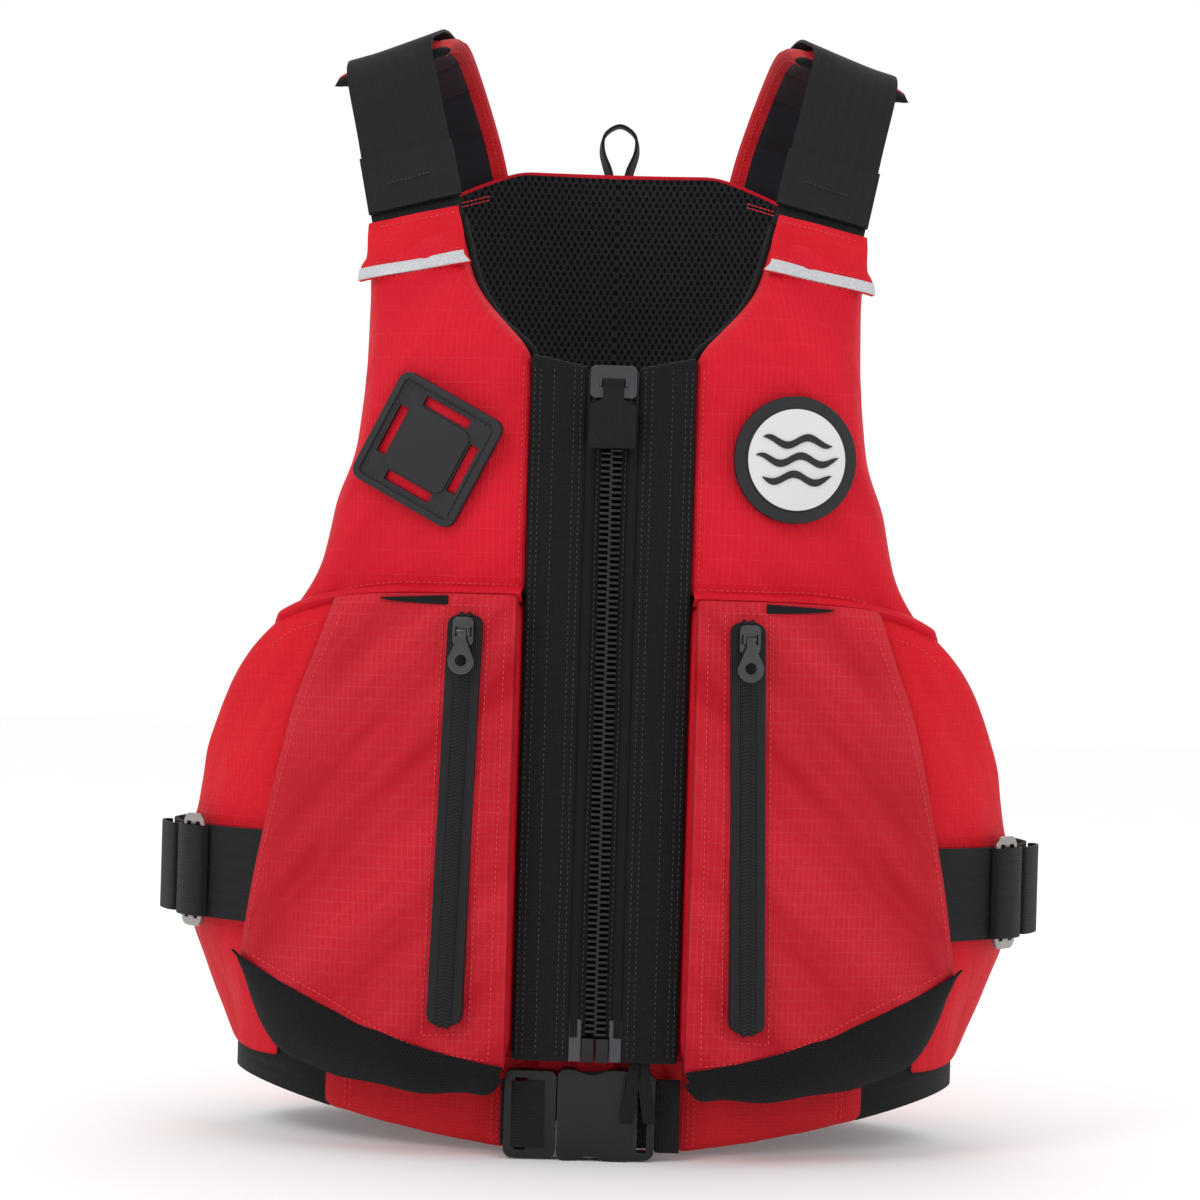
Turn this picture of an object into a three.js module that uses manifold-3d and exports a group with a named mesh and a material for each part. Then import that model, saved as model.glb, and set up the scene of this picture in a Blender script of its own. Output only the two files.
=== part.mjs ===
// A paddling life jacket with a front zip, two pockets and a buckled waist belt, standing upright
// as if worn. Millimetres, +Z up. The wearer faces -Y, so the wearer's left side is at +X.
// Each side is built once in its own group, and the group of the wearer's right side is mirrored.
import * as THREE from "three";
import { mergeVertices } from "three/addons/utils/BufferGeometryUtils.js";
import Module from "manifold-3d";

const wasm = await Module();
wasm.setup();

// ---- Driving dimensions ----
const torsoHalfWidth = 190; // the space for the wearer is an ellipse seen from above
const torsoHalfDepth = 100;
const gap = 0.4; // between pieces that touch
const layerGap = 1; // between curved layers

const liningThickness = 2;
const foamThickness = 33;
const sideFoamThickness = 37;
const backFoamThickness = 30;
const pocketThickness = 14;
const leanStart = 410; // above this height the chest leans back towards the shoulders
const leanShare = 0.2; // how much of its depth the chest has lost at its top

const hemHeight = 52; // lower ends of the zip and of the front panels
const seamHeight = 292; // seam between the chest and the pocket
const seamDip = 24; // how far that seam dips at the armhole
const necklineHeight = 410; // top of the zip, at the bottom of the neckline
const chestTop = 492;
const chestTopFall = 9; // how far the chest's top edge falls towards the armhole
const backTop = 536;
const armholeBottom = 165;

const facingInner = 13.4; // the ribbed facing beside the zip
const facingOuter = 43.2;
const flapBottom = 465; // the flap that anchors the shoulder strap ends at the chest's top
const chestSideWidth = 133;

const zipToothWidth = 5;
const zipMiddleGap = 1.8;
const zipSliderHeight = 17;
const zipTop = 391.5;
const zipBoxHeight = 12.5;

const pocketInnerWidth = 48; // from the middle to the pocket's inner edge
const pocketCorner = 97; // height of the pocket's lower outer corner
const pocketZipWidth = 17.5;
const pocketZipBottom = 70;
const pocketZipTop = seamHeight - 11;

const webbingThickness = 2;
const strapWidth = 50;
const sideStrapHeight = 140; // middle of the side strap above the ground
const beltWidth = 38;
const beltLift = 31; // how far the waist belt rises at the wearer's sides
const sleeveHeight = 45;

const buckleHeight = 47;
const buckleThickness = 13;
const buckleStandOff = 10.5; // from the torso to the back of the buckle

// ---- Colours ----
const red = { color: 0xc8303a, roughness: 0.85, metalness: 0 };
const black = { color: 0x27272a, roughness: 0.9, metalness: 0 };
const webbing = { color: 0x2a2a2c, roughness: 0.8, metalness: 0 };
const plastic = { color: 0x232224, roughness: 0.45, metalness: 0 };
const rubber = { color: 0x38373b, roughness: 0.6, metalness: 0 };
const steel = { color: 0x9a938c, roughness: 0.3, metalness: 1 };
const reflective = { color: 0xc0c2c5, roughness: 0.4, metalness: 0.1 };

// ---- Helpers ----
const mix = THREE.MathUtils.lerp;
const radians = THREE.MathUtils.degToRad;

function meshOf(name, geometry, look, parent) {
  const mesh = new THREE.Mesh(geometry, new THREE.MeshStandardMaterial(look));
  mesh.name = name;
  parent.add(mesh);
  return mesh;
}

// A smooth curve through the points [at, value], as a function of at.
function smoothThrough(points) {
  const slopeAt = (index) => {
    const before = points[Math.max(index - 1, 0)];
    const after = points[Math.min(index + 1, points.length - 1)];
    return (after[1] - before[1]) / (after[0] - before[0]);
  };
  return (at) => {
    const last = points.length - 1;
    if (at <= points[0][0]) return points[0][1];
    if (at >= points[last][0]) return points[last][1];
    const index = points.findIndex((point) => point[0] > at) - 1;
    const [start, end] = [points[index], points[index + 1]];
    const span = end[0] - start[0];
    const t = (at - start[0]) / span;
    const [h0, h1] = [(1 + 2 * t) * (1 - t) ** 2, t * (1 - t) ** 2];
    const [h2, h3] = [t * t * (3 - 2 * t), t * t * (t - 1)];
    return h0 * start[1] + h1 * span * slopeAt(index) + h2 * end[1] + h3 * span * slopeAt(index + 1);
  };
}

// The torso's outward direction in plan; angle is in degrees from the centre front towards +X.
function outwardAt(angle) {
  const sine = Math.sin(radians(angle));
  const cosine = Math.cos(radians(angle));
  return new THREE.Vector2(sine / torsoHalfWidth, -cosine / torsoHalfDepth).normalize();
}

function leanAt(height) {
  const share = Math.max(0, height - leanStart) / (chestTop - leanStart);
  return 1 - leanShare * share * share;
}

// A point at a distance out from the torso.
function onTorso(angle, out, height) {
  const outward = outwardAt(angle);
  const x = torsoHalfWidth * Math.sin(radians(angle)) + out * outward.x;
  const y = -torsoHalfDepth * Math.cos(radians(angle)) + out * outward.y;
  return new THREE.Vector3(x, y < 0 ? y * leanAt(height) : y, height);
}

// The angle at which a surface at a distance out is a given half width from the middle.
function angleAtWidth(width, out) {
  let [low, high] = [0, 90];
  for (let step = 0; step < 30; step += 1) {
    const middle = (low + high) / 2;
    if (onTorso(middle, out, 0).x < width) low = middle;
    else high = middle;
  }
  return low;
}

// A box whose points are moved by place(across, up, through), each from 0 to 1.
function warpedBox(columns, rows, place) {
  const geometry = new THREE.BoxGeometry(1, 1, 1, columns, rows, 1);
  const position = geometry.attributes.position;
  for (let index = 0; index < position.count; index += 1) {
    const across = position.getX(index) + 0.5;
    const up = position.getY(index) + 0.5;
    const through = position.getZ(index) + 0.5;
    const point = place(across, up, through);
    position.setXYZ(index, point.x, point.y, point.z);
  }
  geometry.computeVertexNormals();
  return geometry;
}

// How full a cushion is: 1 in the middle, and edge at its rim.
function fullness(across, up, edge) {
  const round = (t) => Math.sqrt(1 - Math.abs(2 * t - 1) ** 6);
  return edge + (1 - edge) * round(across) * round(up);
}

// An outline on the torso. The sides are angles at a height, the ends are heights across.
function outlineOf(left, right, bottom, top) {
  return (across, up) => {
    const height = mix(bottom(across), top(across), up);
    return [mix(left(height), right(height), across), height];
  };
}

// A soft panel that follows the torso, between two distances from it.
function wrapPanel({ outline, inner, outer, edge = 1, columns = 8, rows = 8 }) {
  return warpedBox(columns, rows, (across, up, through) => {
    const [angle, height] = outline(across, up);
    const out = inner + through * (outer - inner) * fullness(across, up, edge);
    return onTorso(angle, out, height);
  });
}

// How far the front surface of a panel is from the torso at an angle and a height.
function surfaceOf({ sides, ends, inner, outer, edge }) {
  return (angle, height) => {
    const [left, right] = [sides[0](height), sides[1](height)];
    const across = THREE.MathUtils.clamp((angle - left) / (right - left), 0, 1);
    const [low, high] = [ends[0](across), ends[1](across)];
    const up = THREE.MathUtils.clamp((height - low) / (high - low), 0, 1);
    return inner + (outer - inner) * fullness(across, up, edge);
  };
}

// A flat plate from an outline: across is X, up is Z, and it comes forward from Y = 0.
function plate(shape, thickness, segments = 4) {
  const geometry = new THREE.ExtrudeGeometry(shape, {
    depth: thickness,
    bevelEnabled: false,
    curveSegments: segments,
  });
  return geometry.rotateX(Math.PI / 2);
}

function block(width, depth, height, x, y, z) {
  return new THREE.BoxGeometry(width, depth, height).translate(x, y, z);
}

function roundedRectangle(width, height, radius, shape = new THREE.Shape()) {
  const [x, y] = [width / 2 - radius, height / 2 - radius];
  const quarter = Math.PI / 2;
  [[x, -y], [x, y], [-x, y], [-x, -y]].forEach(([cornerX, cornerY], index) => {
    shape.absarc(cornerX, cornerY, radius, (index - 1) * quarter, index * quarter, false);
  });
  return shape;
}

// Stands a piece on the torso: its own X runs round the body and its -Y points outwards.
function standOn(mesh, angle, out, height) {
  const outward = outwardAt(angle);
  mesh.position.copy(onTorso(angle, out, height));
  mesh.rotation.z = Math.atan2(outward.x, -outward.y);
}

function solidOf(geometry) {
  const bare = geometry.clone();
  bare.deleteAttribute("normal");
  bare.deleteAttribute("uv");
  const merged = mergeVertices(bare, 1e-4);
  const vertProperties = new Float32Array(merged.attributes.position.array);
  const triVerts = new Uint32Array(merged.index.array);
  return new wasm.Manifold(new wasm.Mesh({ numProp: 3, vertProperties, triVerts }));
}

function geometryOf(solid) {
  const { vertProperties, triVerts } = solid.getMesh();
  const geometry = new THREE.BufferGeometry();
  geometry.setAttribute("position", new THREE.BufferAttribute(vertProperties, 3));
  geometry.setIndex(new THREE.BufferAttribute(triVerts, 1));
  geometry.computeVertexNormals();
  return geometry;
}

function joined(first, ...others) {
  return geometryOf(others.reduce((solid, other) => solid.add(solidOf(other)), solidOf(first)));
}

function cut(first, ...tools) {
  return geometryOf(tools.reduce((solid, tool) => solid.subtract(solidOf(tool)), solidOf(first)));
}

// ---- Shared outlines ----
const panelInner = liningThickness + layerGap;
const panelOuter = panelInner + foamThickness;
const sideOuter = panelInner + sideFoamThickness;
const backOuter = panelInner + backFoamThickness;
const pocketInner = panelOuter + layerGap;
const pocketOuter = pocketInner + pocketThickness;
const sideEndAngle = 91; // where the front half ends, at the wearer's side
const backStartAngle = 97;

const armholeWidth = smoothThrough([
  [armholeBottom, torsoHalfWidth + sideOuter - 1],
  [mix(armholeBottom, seamHeight, 0.36), torsoHalfWidth + 30],
  [mix(armholeBottom, seamHeight, 0.69), torsoHalfWidth + 10],
  [seamHeight, chestSideWidth + 34],
  [mix(seamHeight, chestTop, 0.21), chestSideWidth + 14],
  [mix(seamHeight, chestTop, 0.39), chestSideWidth],
  [chestTop, chestSideWidth - 4],
]);
const necklineWidth = smoothThrough([
  [necklineHeight + 8, facingOuter + gap],
  [450, 72],
  [475, 80],
  [chestTop, 85],
]);
const pocketEdgeWidth = smoothThrough([
  [pocketCorner, 191],
  [mix(pocketCorner, seamHeight, 0.66), 165],
  [mix(pocketCorner, seamHeight, 0.86), 150],
  [seamHeight, 141],
]);

function armholeAngle(height) {
  if (height <= armholeBottom) return sideEndAngle;
  return Math.min(sideEndAngle, angleAtWidth(armholeWidth(height), sideOuter));
}
const necklineAngle = (height) => angleAtWidth(necklineWidth(height), panelOuter);
const pocketEdgeAngle = (height) => angleAtWidth(pocketEdgeWidth(height), panelOuter + 8);
const sleeveStartWidth = 45.5;
const sleeveEndAngle = angleAtWidth(143, 9);

// The seam under the chest dips towards the armhole.
function seamLine(angle) {
  const [start, end] = [necklineAngle(seamHeight), armholeAngle(seamHeight - seamDip)];
  return seamHeight - seamDip * THREE.MathUtils.clamp((angle - start) / (end - start), 0, 1) ** 4;
}

// The height of the seam across a panel whose sides are angles at a height.
const seamAcross = (left, right) => (across) => {
  let height = seamHeight;
  for (let step = 0; step < 12; step += 1) {
    height = mix(height, seamLine(mix(left(height), right(height), across)), 0.7);
  }
  return height;
};

const pocketBottom = (across) => hemHeight - 6 + 51 * across ** 1.3;
const beltBottom = (angle) => beltLift * Math.abs(Math.sin(radians(angle))) ** 1.6;

// ---- The front half of one side ----
const chest = {
  sides: [necklineAngle, armholeAngle],
  ends: [
    (across) => seamAcross(necklineAngle, armholeAngle)(across) + gap,
    (across) => chestTop - chestTopFall * across,
  ],
  inner: panelInner,
  outer: panelOuter,
  edge: 0.45,
};
const chestSurface = surfaceOf(chest);

function addFrontPanels(side, name) {
  const chestOutline = outlineOf(...chest.sides, ...chest.ends);
  meshOf(`chest_panel_${name}`, wrapPanel({ ...chest, outline: chestOutline, rows: 10 }), red, side);

  const waistSides = [
    () => angleAtWidth(facingOuter + gap, panelOuter),
    (height) => pocketEdgeAngle(height) - 0.5,
  ];
  const waistTop = seamAcross(...waistSides);
  const underPocket = outlineOf(
    ...waistSides,
    (across) => pocketBottom(across) + 6.5,
    (across) => waistTop(across) - layerGap,
  );
  const waist = { outline: underPocket, inner: panelInner, outer: panelOuter };
  meshOf(`waist_panel_${name}`, wrapPanel(waist), red, side);

  const sideBottom = 74;
  const drop = 16; // the outside of the side panel hangs lower than its inside
  const sideEdges = [(height) => pocketEdgeAngle(height) + 0.5, armholeAngle];
  const sideTop = seamAcross(...sideEdges);
  const sideOutline = outlineOf(...sideEdges, () => sideBottom, (across) => sideTop(across) - 4 * layerGap);
  const sidePanel = warpedBox(10, 10, (across, up, through) => {
    const [angle, height] = sideOutline(across, up);
    const out = panelInner + through * sideFoamThickness * fullness(across, up, 0.5);
    return onTorso(angle, out, height - through * drop * (1 - up) ** 4);
  });
  meshOf(`side_panel_${name}`, sidePanel, red, side);

  // The lining backs the zip facing too, so it steps outwards at the bottom of the neckline.
  const liningInner = (height) => {
    const share = THREE.MathUtils.clamp((height - necklineHeight + 8) / 16, 0, 1);
    return mix(facingInner, necklineWidth(height) - 5, share);
  };
  const liningOutline = outlineOf(
    (height) => angleAtWidth(liningInner(height), 0),
    (height) => armholeAngle(height) - 2,
    (across) => hemHeight + 24 * across,
    (across) => chestTop - 4 - chestTopFall * across,
  );
  const lining = { outline: liningOutline, inner: 0, outer: liningThickness, columns: 14, rows: 24 };
  meshOf(`front_lining_${name}`, wrapPanel(lining), black, side);
}

function addZipHalf(side, name) {
  const facingOutline = outlineOf(
    () => angleAtWidth(facingInner, panelOuter),
    () => angleAtWidth(facingOuter, panelOuter),
    () => hemHeight,
    (across) => necklineHeight + 6 * across,
  );
  const facing = { outline: facingOutline, inner: panelInner, outer: panelOuter - 3, columns: 4, rows: 3 };
  meshOf(`zip_facing_${name}`, wrapPanel(facing), black, side);

  // One half of the zip: a bead of teeth and the tape that carries it, drawn in plan.
  const [inside, bead, tapeEnd] = [zipMiddleGap / 2, zipMiddleGap / 2 + zipToothWidth, facingInner - gap];
  const [half, tape] = [2.7, 0.6];
  const section = new THREE.Shape();
  section.moveTo(inside, -half);
  section.lineTo(bead, -half);
  section.lineTo(bead, -tape);
  section.lineTo(tapeEnd, -tape);
  section.lineTo(tapeEnd, tape);
  section.lineTo(bead, tape);
  section.lineTo(bead, half);
  section.lineTo(inside, half);
  section.closePath();
  const length = zipTop - hemHeight - zipBoxHeight - gap;
  const tapeGeometry = new THREE.ExtrudeGeometry(section, { depth: length, bevelEnabled: false });
  const mesh = meshOf(`zip_tape_${name}`, tapeGeometry, black, side);
  mesh.position.set(0, zipPlane, hemHeight + zipBoxHeight + gap);
}

// ---- The pocket ----
const pocket = {
  sides: [() => angleAtWidth(pocketInnerWidth, pocketOuter), pocketEdgeAngle],
  ends: [pocketBottom, seamAcross(() => angleAtWidth(pocketInnerWidth, pocketOuter), pocketEdgeAngle)],
  inner: pocketInner,
  outer: pocketOuter,
  edge: 0.45,
};

function pocketZipAngle(height) {
  const share = (height - pocketZipBottom) / (pocketZipTop - pocketZipBottom);
  return angleAtWidth(mix(77.5, 72, share), pocketOuter);
}

function addPocket(side, name) {
  const outline = outlineOf(...pocket.sides, ...pocket.ends);
  meshOf(`pocket_${name}`, wrapPanel({ ...pocket, outline, columns: 10, rows: 10 }), red, side);

  // The mesh gusset runs from the lower edge of the pocket back to the hem.
  // Its lower edge stays above the buckle, whose tongue slides out under it.
  const [gussetThickness, backOut] = [2, 26];
  const aboveBuckle = buckleHeight - 0.5;
  const lowEdge = smoothThrough([[0, aboveBuckle], [0.3, aboveBuckle], [0.45, 47], [0.8, 58], [1, 88]]);
  const gusset = warpedBox(10, 4, (across, up, through) => {
    const height = mix(lowEdge(across), pocketBottom(across) - gussetThickness - 2.2 - 4 * across, up);
    const angle = mix(angleAtWidth(pocketInnerWidth + 4, backOut), pocketEdgeAngle(pocketCorner) - 2, across);
    return onTorso(angle, mix(backOut, pocketOuter - 5, up), height + (1 - through) * gussetThickness);
  });
  meshOf(`pocket_gusset_${name}`, gusset, black, side);

  const halfTurn = THREE.MathUtils.radToDeg(pocketZipWidth / 2 / onTorso(90, pocketOuter, 0).x);
  const zipOutline = outlineOf(
    (height) => pocketZipAngle(height) - halfTurn,
    (height) => pocketZipAngle(height) + halfTurn,
    () => pocketZipBottom,
    () => pocketZipTop,
  );
  const zip = { outline: zipOutline, inner: pocketOuter + 0.8, outer: pocketOuter + 2.4, columns: 4, rows: 4 };
  meshOf(`pocket_zip_${name}`, wrapPanel(zip), webbing, side);

  const sliderHeight = pocketZipTop - 9;
  const slider = meshOf(`pocket_slider_${name}`, sliderGeometry(11, 15, 2.4, 6), plastic, side);
  standOn(slider, pocketZipAngle(sliderHeight), pocketOuter + 3.2, sliderHeight);

  const pull = new THREE.Shape();
  pull.moveTo(-2.4, -4);
  pull.lineTo(-2.4, 0);
  pull.lineTo(2.4, 0);
  pull.lineTo(2.4, -4);
  pull.lineTo(7, -14);
  pull.absarc(0, -15, 7, 0, Math.PI, true);
  pull.closePath();
  const pullMesh = meshOf(`pocket_pull_${name}`, pullGeometry(pull, 2, 5.2, 1.5), rubber, side);
  standOn(pullMesh, pocketZipAngle(sliderHeight), pocketOuter + 3.2 + 2.4 + 2.2, sliderHeight);
}

// A zip slider's front plate with two lugs that hold its pull.
function sliderGeometry(width, height, thickness, lugGap) {
  const body = plate(roundedRectangle(width, height, 3), thickness);
  const lug = (x) => block(1.6, 4.4, 5, x, -thickness - 2, 0);
  return joined(body, lug(-lugGap / 2 - 0.8), lug(lugGap / 2 + 0.8));
}

// A flat pull with a round bar at its top, which turns between the slider's lugs.
function pullGeometry(shape, thickness, barLength, barRadius) {
  const tab = plate(shape, thickness).translate(0, thickness / 2, 0);
  const bar = new THREE.CylinderGeometry(barRadius, barRadius, barLength, 12).rotateZ(Math.PI / 2);
  return joined(bar, tab);
}

// ---- The shoulder ----
// A band between the two ends of a path, with its width along from inner to outer.
function bandAlong(path, inwards, width, thickness, columns, rows, edge = 1) {
  return warpedBox(columns, rows, (across, up, through) => {
    const centre = path.getPoint(up);
    const tangent = path.getTangent(up);
    const sideways = inwards.clone().addScaledVector(tangent, -inwards.dot(tangent)).normalize();
    const normal = sideways.clone().cross(tangent);
    const thick = thickness * fullness(across, up, edge);
    return centre.addScaledVector(sideways, (across - 0.5) * width).addScaledVector(normal, (through - 0.5) * thick);
  });
}

const strapLow = onTorso(angleAtWidth(107, 20), 22, 497);
const strapHigh = new THREE.Vector3(126.5, -27, 589);
const shoulderSlope = new THREE.Vector3(0.957, 0, -0.29);

function addShoulder(side, name) {
  const flapOutline = outlineOf(
    (height) => {
      const share = (height - flapBottom) / (chestTop - flapBottom);
      return mix(necklineAngle(flapBottom), necklineAngle(chestTop), share) - 0.2;
    },
    (height) => armholeAngle(height) + 0.2,
    (across) => flapBottom - 10 * across,
    (across) => chestTop - chestTopFall * across,
  );
  const flapAt = (across, up, standOff) => {
    const [angle, height] = flapOutline(across, up);
    return onTorso(angle, standOff + chestSurface(angle, height), height);
  };
  const flap = warpedBox(6, 3, (across, up, through) => flapAt(across, up, through ? 7 : 5));
  meshOf(`strap_anchor_${name}`, flap, red, side);

  const strip = warpedBox(6, 1, (across, up, through) => flapAt(across, up * 0.2, through ? 8.4 : 7.6));
  meshOf(`reflective_strip_${name}`, strip, reflective, side);

  const strapPath = new THREE.LineCurve3(strapHigh, strapLow);
  const strap = bandAlong(strapPath, shoulderSlope, strapWidth - 5, webbingThickness, 2, 3);
  meshOf(`shoulder_strap_${name}`, strap, webbing, side);

  // The pad runs from the top of the back over the shoulder to its front end.
  const padPath = new THREE.CatmullRomCurve3([
    new THREE.Vector3(99, 112, backTop),
    new THREE.Vector3(103, 103, 560),
    new THREE.Vector3(111, 66, 584),
    new THREE.Vector3(119, 22, 590),
    new THREE.Vector3(124.5, -18, 580),
  ]);
  const pad = bandAlong(padPath, shoulderSlope, 68, 12, 5, 10, 0.5);
  meshOf(`shoulder_pad_${name}`, pad, black, side);
}

// ---- The side strap ----
const sideSliderAngle = 70.5;

function addSideStrap(side, name) {
  const band = (start, end, inner, outer) => ({
    outline: outlineOf(
      () => start,
      () => end,
      () => sideStrapHeight - strapWidth / 2,
      () => sideStrapHeight + strapWidth / 2,
    ),
    inner,
    outer,
    rows: 2,
  });
  const strapInner = sideOuter + layerGap;
  const front = band(63, 87.5, strapInner, strapInner + webbingThickness);
  const loopStart = 0.78; // share of the strap's length where its end folds back on itself
  const strap = warpedBox(8, 2, (across, up, through) => {
    const [angle, height] = front.outline(across, up);
    const loop = across > loopStart ? 5 : 0;
    return onTorso(angle, through ? front.outer + loop : front.inner, height);
  });
  meshOf(`side_strap_${name}`, strap, webbing, side);
  const rear = band(93, 122, strapInner, strapInner + webbingThickness);
  meshOf(`side_strap_rear_${name}`, wrapPanel({ ...rear, columns: 7 }), webbing, side);

  const slots = [-5, 5].map((x) => block(4.5, 20, 51, x, 0, 0));
  const frame = cut(plate(roundedRectangle(22, 60, 6), 2.4), ...slots);
  const slider = meshOf(`side_slider_${name}`, frame, steel, side);
  standOn(slider, sideSliderAngle, front.outer + 1, sideStrapHeight);
}

// ---- The waist belt of one side ----
function addBelt(side, name) {
  const sleeveStart = angleAtWidth(sleeveStartWidth, 9);
  const sleeveAngle = (across) => mix(sleeveStart, sleeveEndAngle, across);
  const sleeve = {
    outline: outlineOf(
      () => sleeveStart,
      () => sleeveEndAngle,
      (across) => beltBottom(sleeveAngle(across)),
      (across) => beltBottom(sleeveAngle(across)) + sleeveHeight - 4 * across,
    ),
    inner: 1,
    outer: 9,
    edge: 0.6,
    rows: 4,
  };
  meshOf(`belt_sleeve_${name}`, wrapPanel(sleeve), red, side);

  const webAngle = (across) => mix(sleeveEndAngle + 0.4, 119.5, across);
  const web = {
    outline: outlineOf(
      () => webAngle(0),
      () => webAngle(1),
      (across) => beltBottom(webAngle(across)),
      (across) => beltBottom(webAngle(across)) + beltWidth,
    ),
    inner: 4,
    outer: 4 + webbingThickness,
    columns: 12,
    rows: 1,
  };
  meshOf(`belt_side_web_${name}`, wrapPanel(web), webbing, side);
}

// ---- The main zip: slider, pull and retainer box ----
const zipPlane = -(torsoHalfDepth + panelOuter - 6); // the plane of the tapes, as a Y value

function addMainZip(parent) {
  const [width, plateThickness] = [24, 2.4];
  const reach = 2.7 + 0.6; // from the plane of the tapes to a plate
  const front = sliderGeometry(width, zipSliderHeight, plateThickness, 12).translate(0, -reach, 0);
  const back = plate(roundedRectangle(width - 4, zipSliderHeight, 3), plateThickness);
  back.translate(0, reach + plateThickness, 0);
  const post = block(zipMiddleGap - 0.8, 2 * reach + 1, zipSliderHeight - 4, 0, 0, 0);
  const slider = meshOf("main_slider", joined(front, back, post), steel, parent);
  const sliderMiddle = zipTop + 2 + zipSliderHeight / 2;
  slider.position.set(0, zipPlane, sliderMiddle);

  const tab = new THREE.Shape();
  tab.moveTo(-5.4, 0);
  tab.lineTo(5.4, 0);
  tab.lineTo(5.4, -9);
  tab.lineTo(12, -12);
  tab.lineTo(12, -34);
  tab.lineTo(-12, -34);
  tab.lineTo(-12, -12);
  tab.lineTo(-5.4, -9);
  tab.closePath();
  const pull = meshOf("main_pull", pullGeometry(tab, 3, 11.2, 1.8), webbing, parent);
  pull.position.set(0, zipPlane - reach - plateThickness - 2.6, sliderMiddle);

  const boxWidth = 6.6;
  const box = block(boxWidth, 7, zipBoxHeight, 0.4 + boxWidth / 2, zipPlane, hemHeight + zipBoxHeight / 2);
  meshOf("zip_box", box, plastic, parent);
  const pin = block(boxWidth, 5, zipBoxHeight, -0.4 - boxWidth / 2, zipPlane, hemHeight + zipBoxHeight / 2);
  meshOf("zip_pin", pin, plastic, parent);
}

// ---- The buckle ----
const buckleBack = -(torsoHalfDepth + buckleStandOff);
const buckleMiddle = buckleBack - buckleThickness / 2;
const [housingStart, housingEnd, barEnd] = [-18.6, 20, 32];
const wall = 2.6;

// A plate of the buckle, centred on the buckle's plane and on its middle height.
function bucklePlate(shape, thickness, x) {
  return plate(shape, thickness, 6).translate(x, buckleMiddle + thickness / 2, buckleHeight / 2);
}

// The socket's outline: round corners, and a waist where the two side buttons are pressed.
function socketShape(length, height) {
  const [x, y] = [length / 2, height / 2];
  const [corner, waist] = [4, 2.4];
  const [start, middle, end] = [-13, -2, 9]; // the waist along the socket
  const shape = new THREE.Shape();
  shape.moveTo(-x + corner, -y);
  shape.lineTo(start, -y);
  shape.bezierCurveTo(start + 5, -y, middle - 5, -y + waist, middle, -y + waist);
  shape.bezierCurveTo(middle + 5, -y + waist, end - 5, -y, end, -y);
  shape.lineTo(x - corner, -y);
  shape.absarc(x - corner, -y + corner, corner, -Math.PI / 2, 0, false);
  shape.absarc(x - corner, y - corner, corner, 0, Math.PI / 2, false);
  shape.lineTo(end, y);
  shape.bezierCurveTo(end - 5, y, middle + 5, y - waist, middle, y - waist);
  shape.bezierCurveTo(middle - 5, y - waist, start + 5, y, start, y);
  shape.lineTo(-x + corner, y);
  shape.absarc(-x + corner, y - corner, corner, Math.PI / 2, Math.PI, false);
  shape.absarc(-x + corner, -y + corner, corner, Math.PI, 1.5 * Math.PI, false);
  return shape;
}

function addBuckle(parent) {
  const middle = buckleHeight / 2;
  const cavityHeight = buckleHeight - 10;
  const cavityDepth = buckleThickness - 2 * wall;
  const housingLength = housingEnd - housingStart;
  const housing = bucklePlate(
    socketShape(housingLength, buckleHeight), buckleThickness, housingStart + housingLength / 2);
  const loopLength = barEnd - housingEnd + 6;
  const loop = bucklePlate(
    roundedRectangle(loopLength, buckleHeight - 2, 5), buckleThickness - 2, barEnd - loopLength / 2);
  const loopSlot = block(5, 2 * buckleThickness, cavityHeight, housingEnd + 5.5, buckleMiddle, middle);
  const cavity = block(34, cavityDepth, cavityHeight, housingStart + 16, buckleMiddle, middle);
  const windows = block(17, cavityDepth, 2 * buckleHeight, housingStart + 17.5, buckleMiddle, middle);
  const female = cut(joined(housing, loop), loopSlot, cavity, windows);
  meshOf("buckle_female", female, plastic, parent);

  const frameLength = 27;
  const frameMiddle = housingStart - gap - frameLength / 2;
  const frameShape = roundedRectangle(frameLength, buckleHeight - 2, 4);
  const frame = bucklePlate(frameShape, buckleThickness - 2, frameMiddle);
  const frameSlot = block(6, 2 * buckleThickness, cavityHeight, frameMiddle - 5, buckleMiddle, middle);
  const tongue = block(28, cavityDepth - 2, 7, housingStart + 12, buckleMiddle, middle);
  meshOf("buckle_male", joined(cut(frame, frameSlot), tongue), plastic, parent);

  // A prong: its root, its elbow and the button that shows in the socket's window.
  const button = cavityHeight / 2 - 0.9;
  const [root, elbow] = [button - 9.6, button - 4.1];
  for (const [name, way] of [["upper", 1], ["lower", -1]]) {
    const outline = new THREE.Shape();
    outline.moveTo(housingStart + 0.4, root);
    outline.lineTo(housingStart + 22, root);
    outline.quadraticCurveTo(housingStart + 28, root + 2, housingStart + 27, button);
    outline.lineTo(housingStart + 12, button);
    outline.lineTo(housingStart + 7, elbow);
    outline.lineTo(housingStart + 0.4, elbow);
    outline.closePath();
    const prong = plate(outline, cavityDepth - 1.2);
    if (way < 0) prong.rotateX(Math.PI).translate(0, -(cavityDepth - 1.2), 0);
    prong.translate(0, buckleMiddle + (cavityDepth - 1.2) / 2, middle);
    meshOf(`buckle_prong_${name}`, prong, plastic, parent);
  }
}

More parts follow.
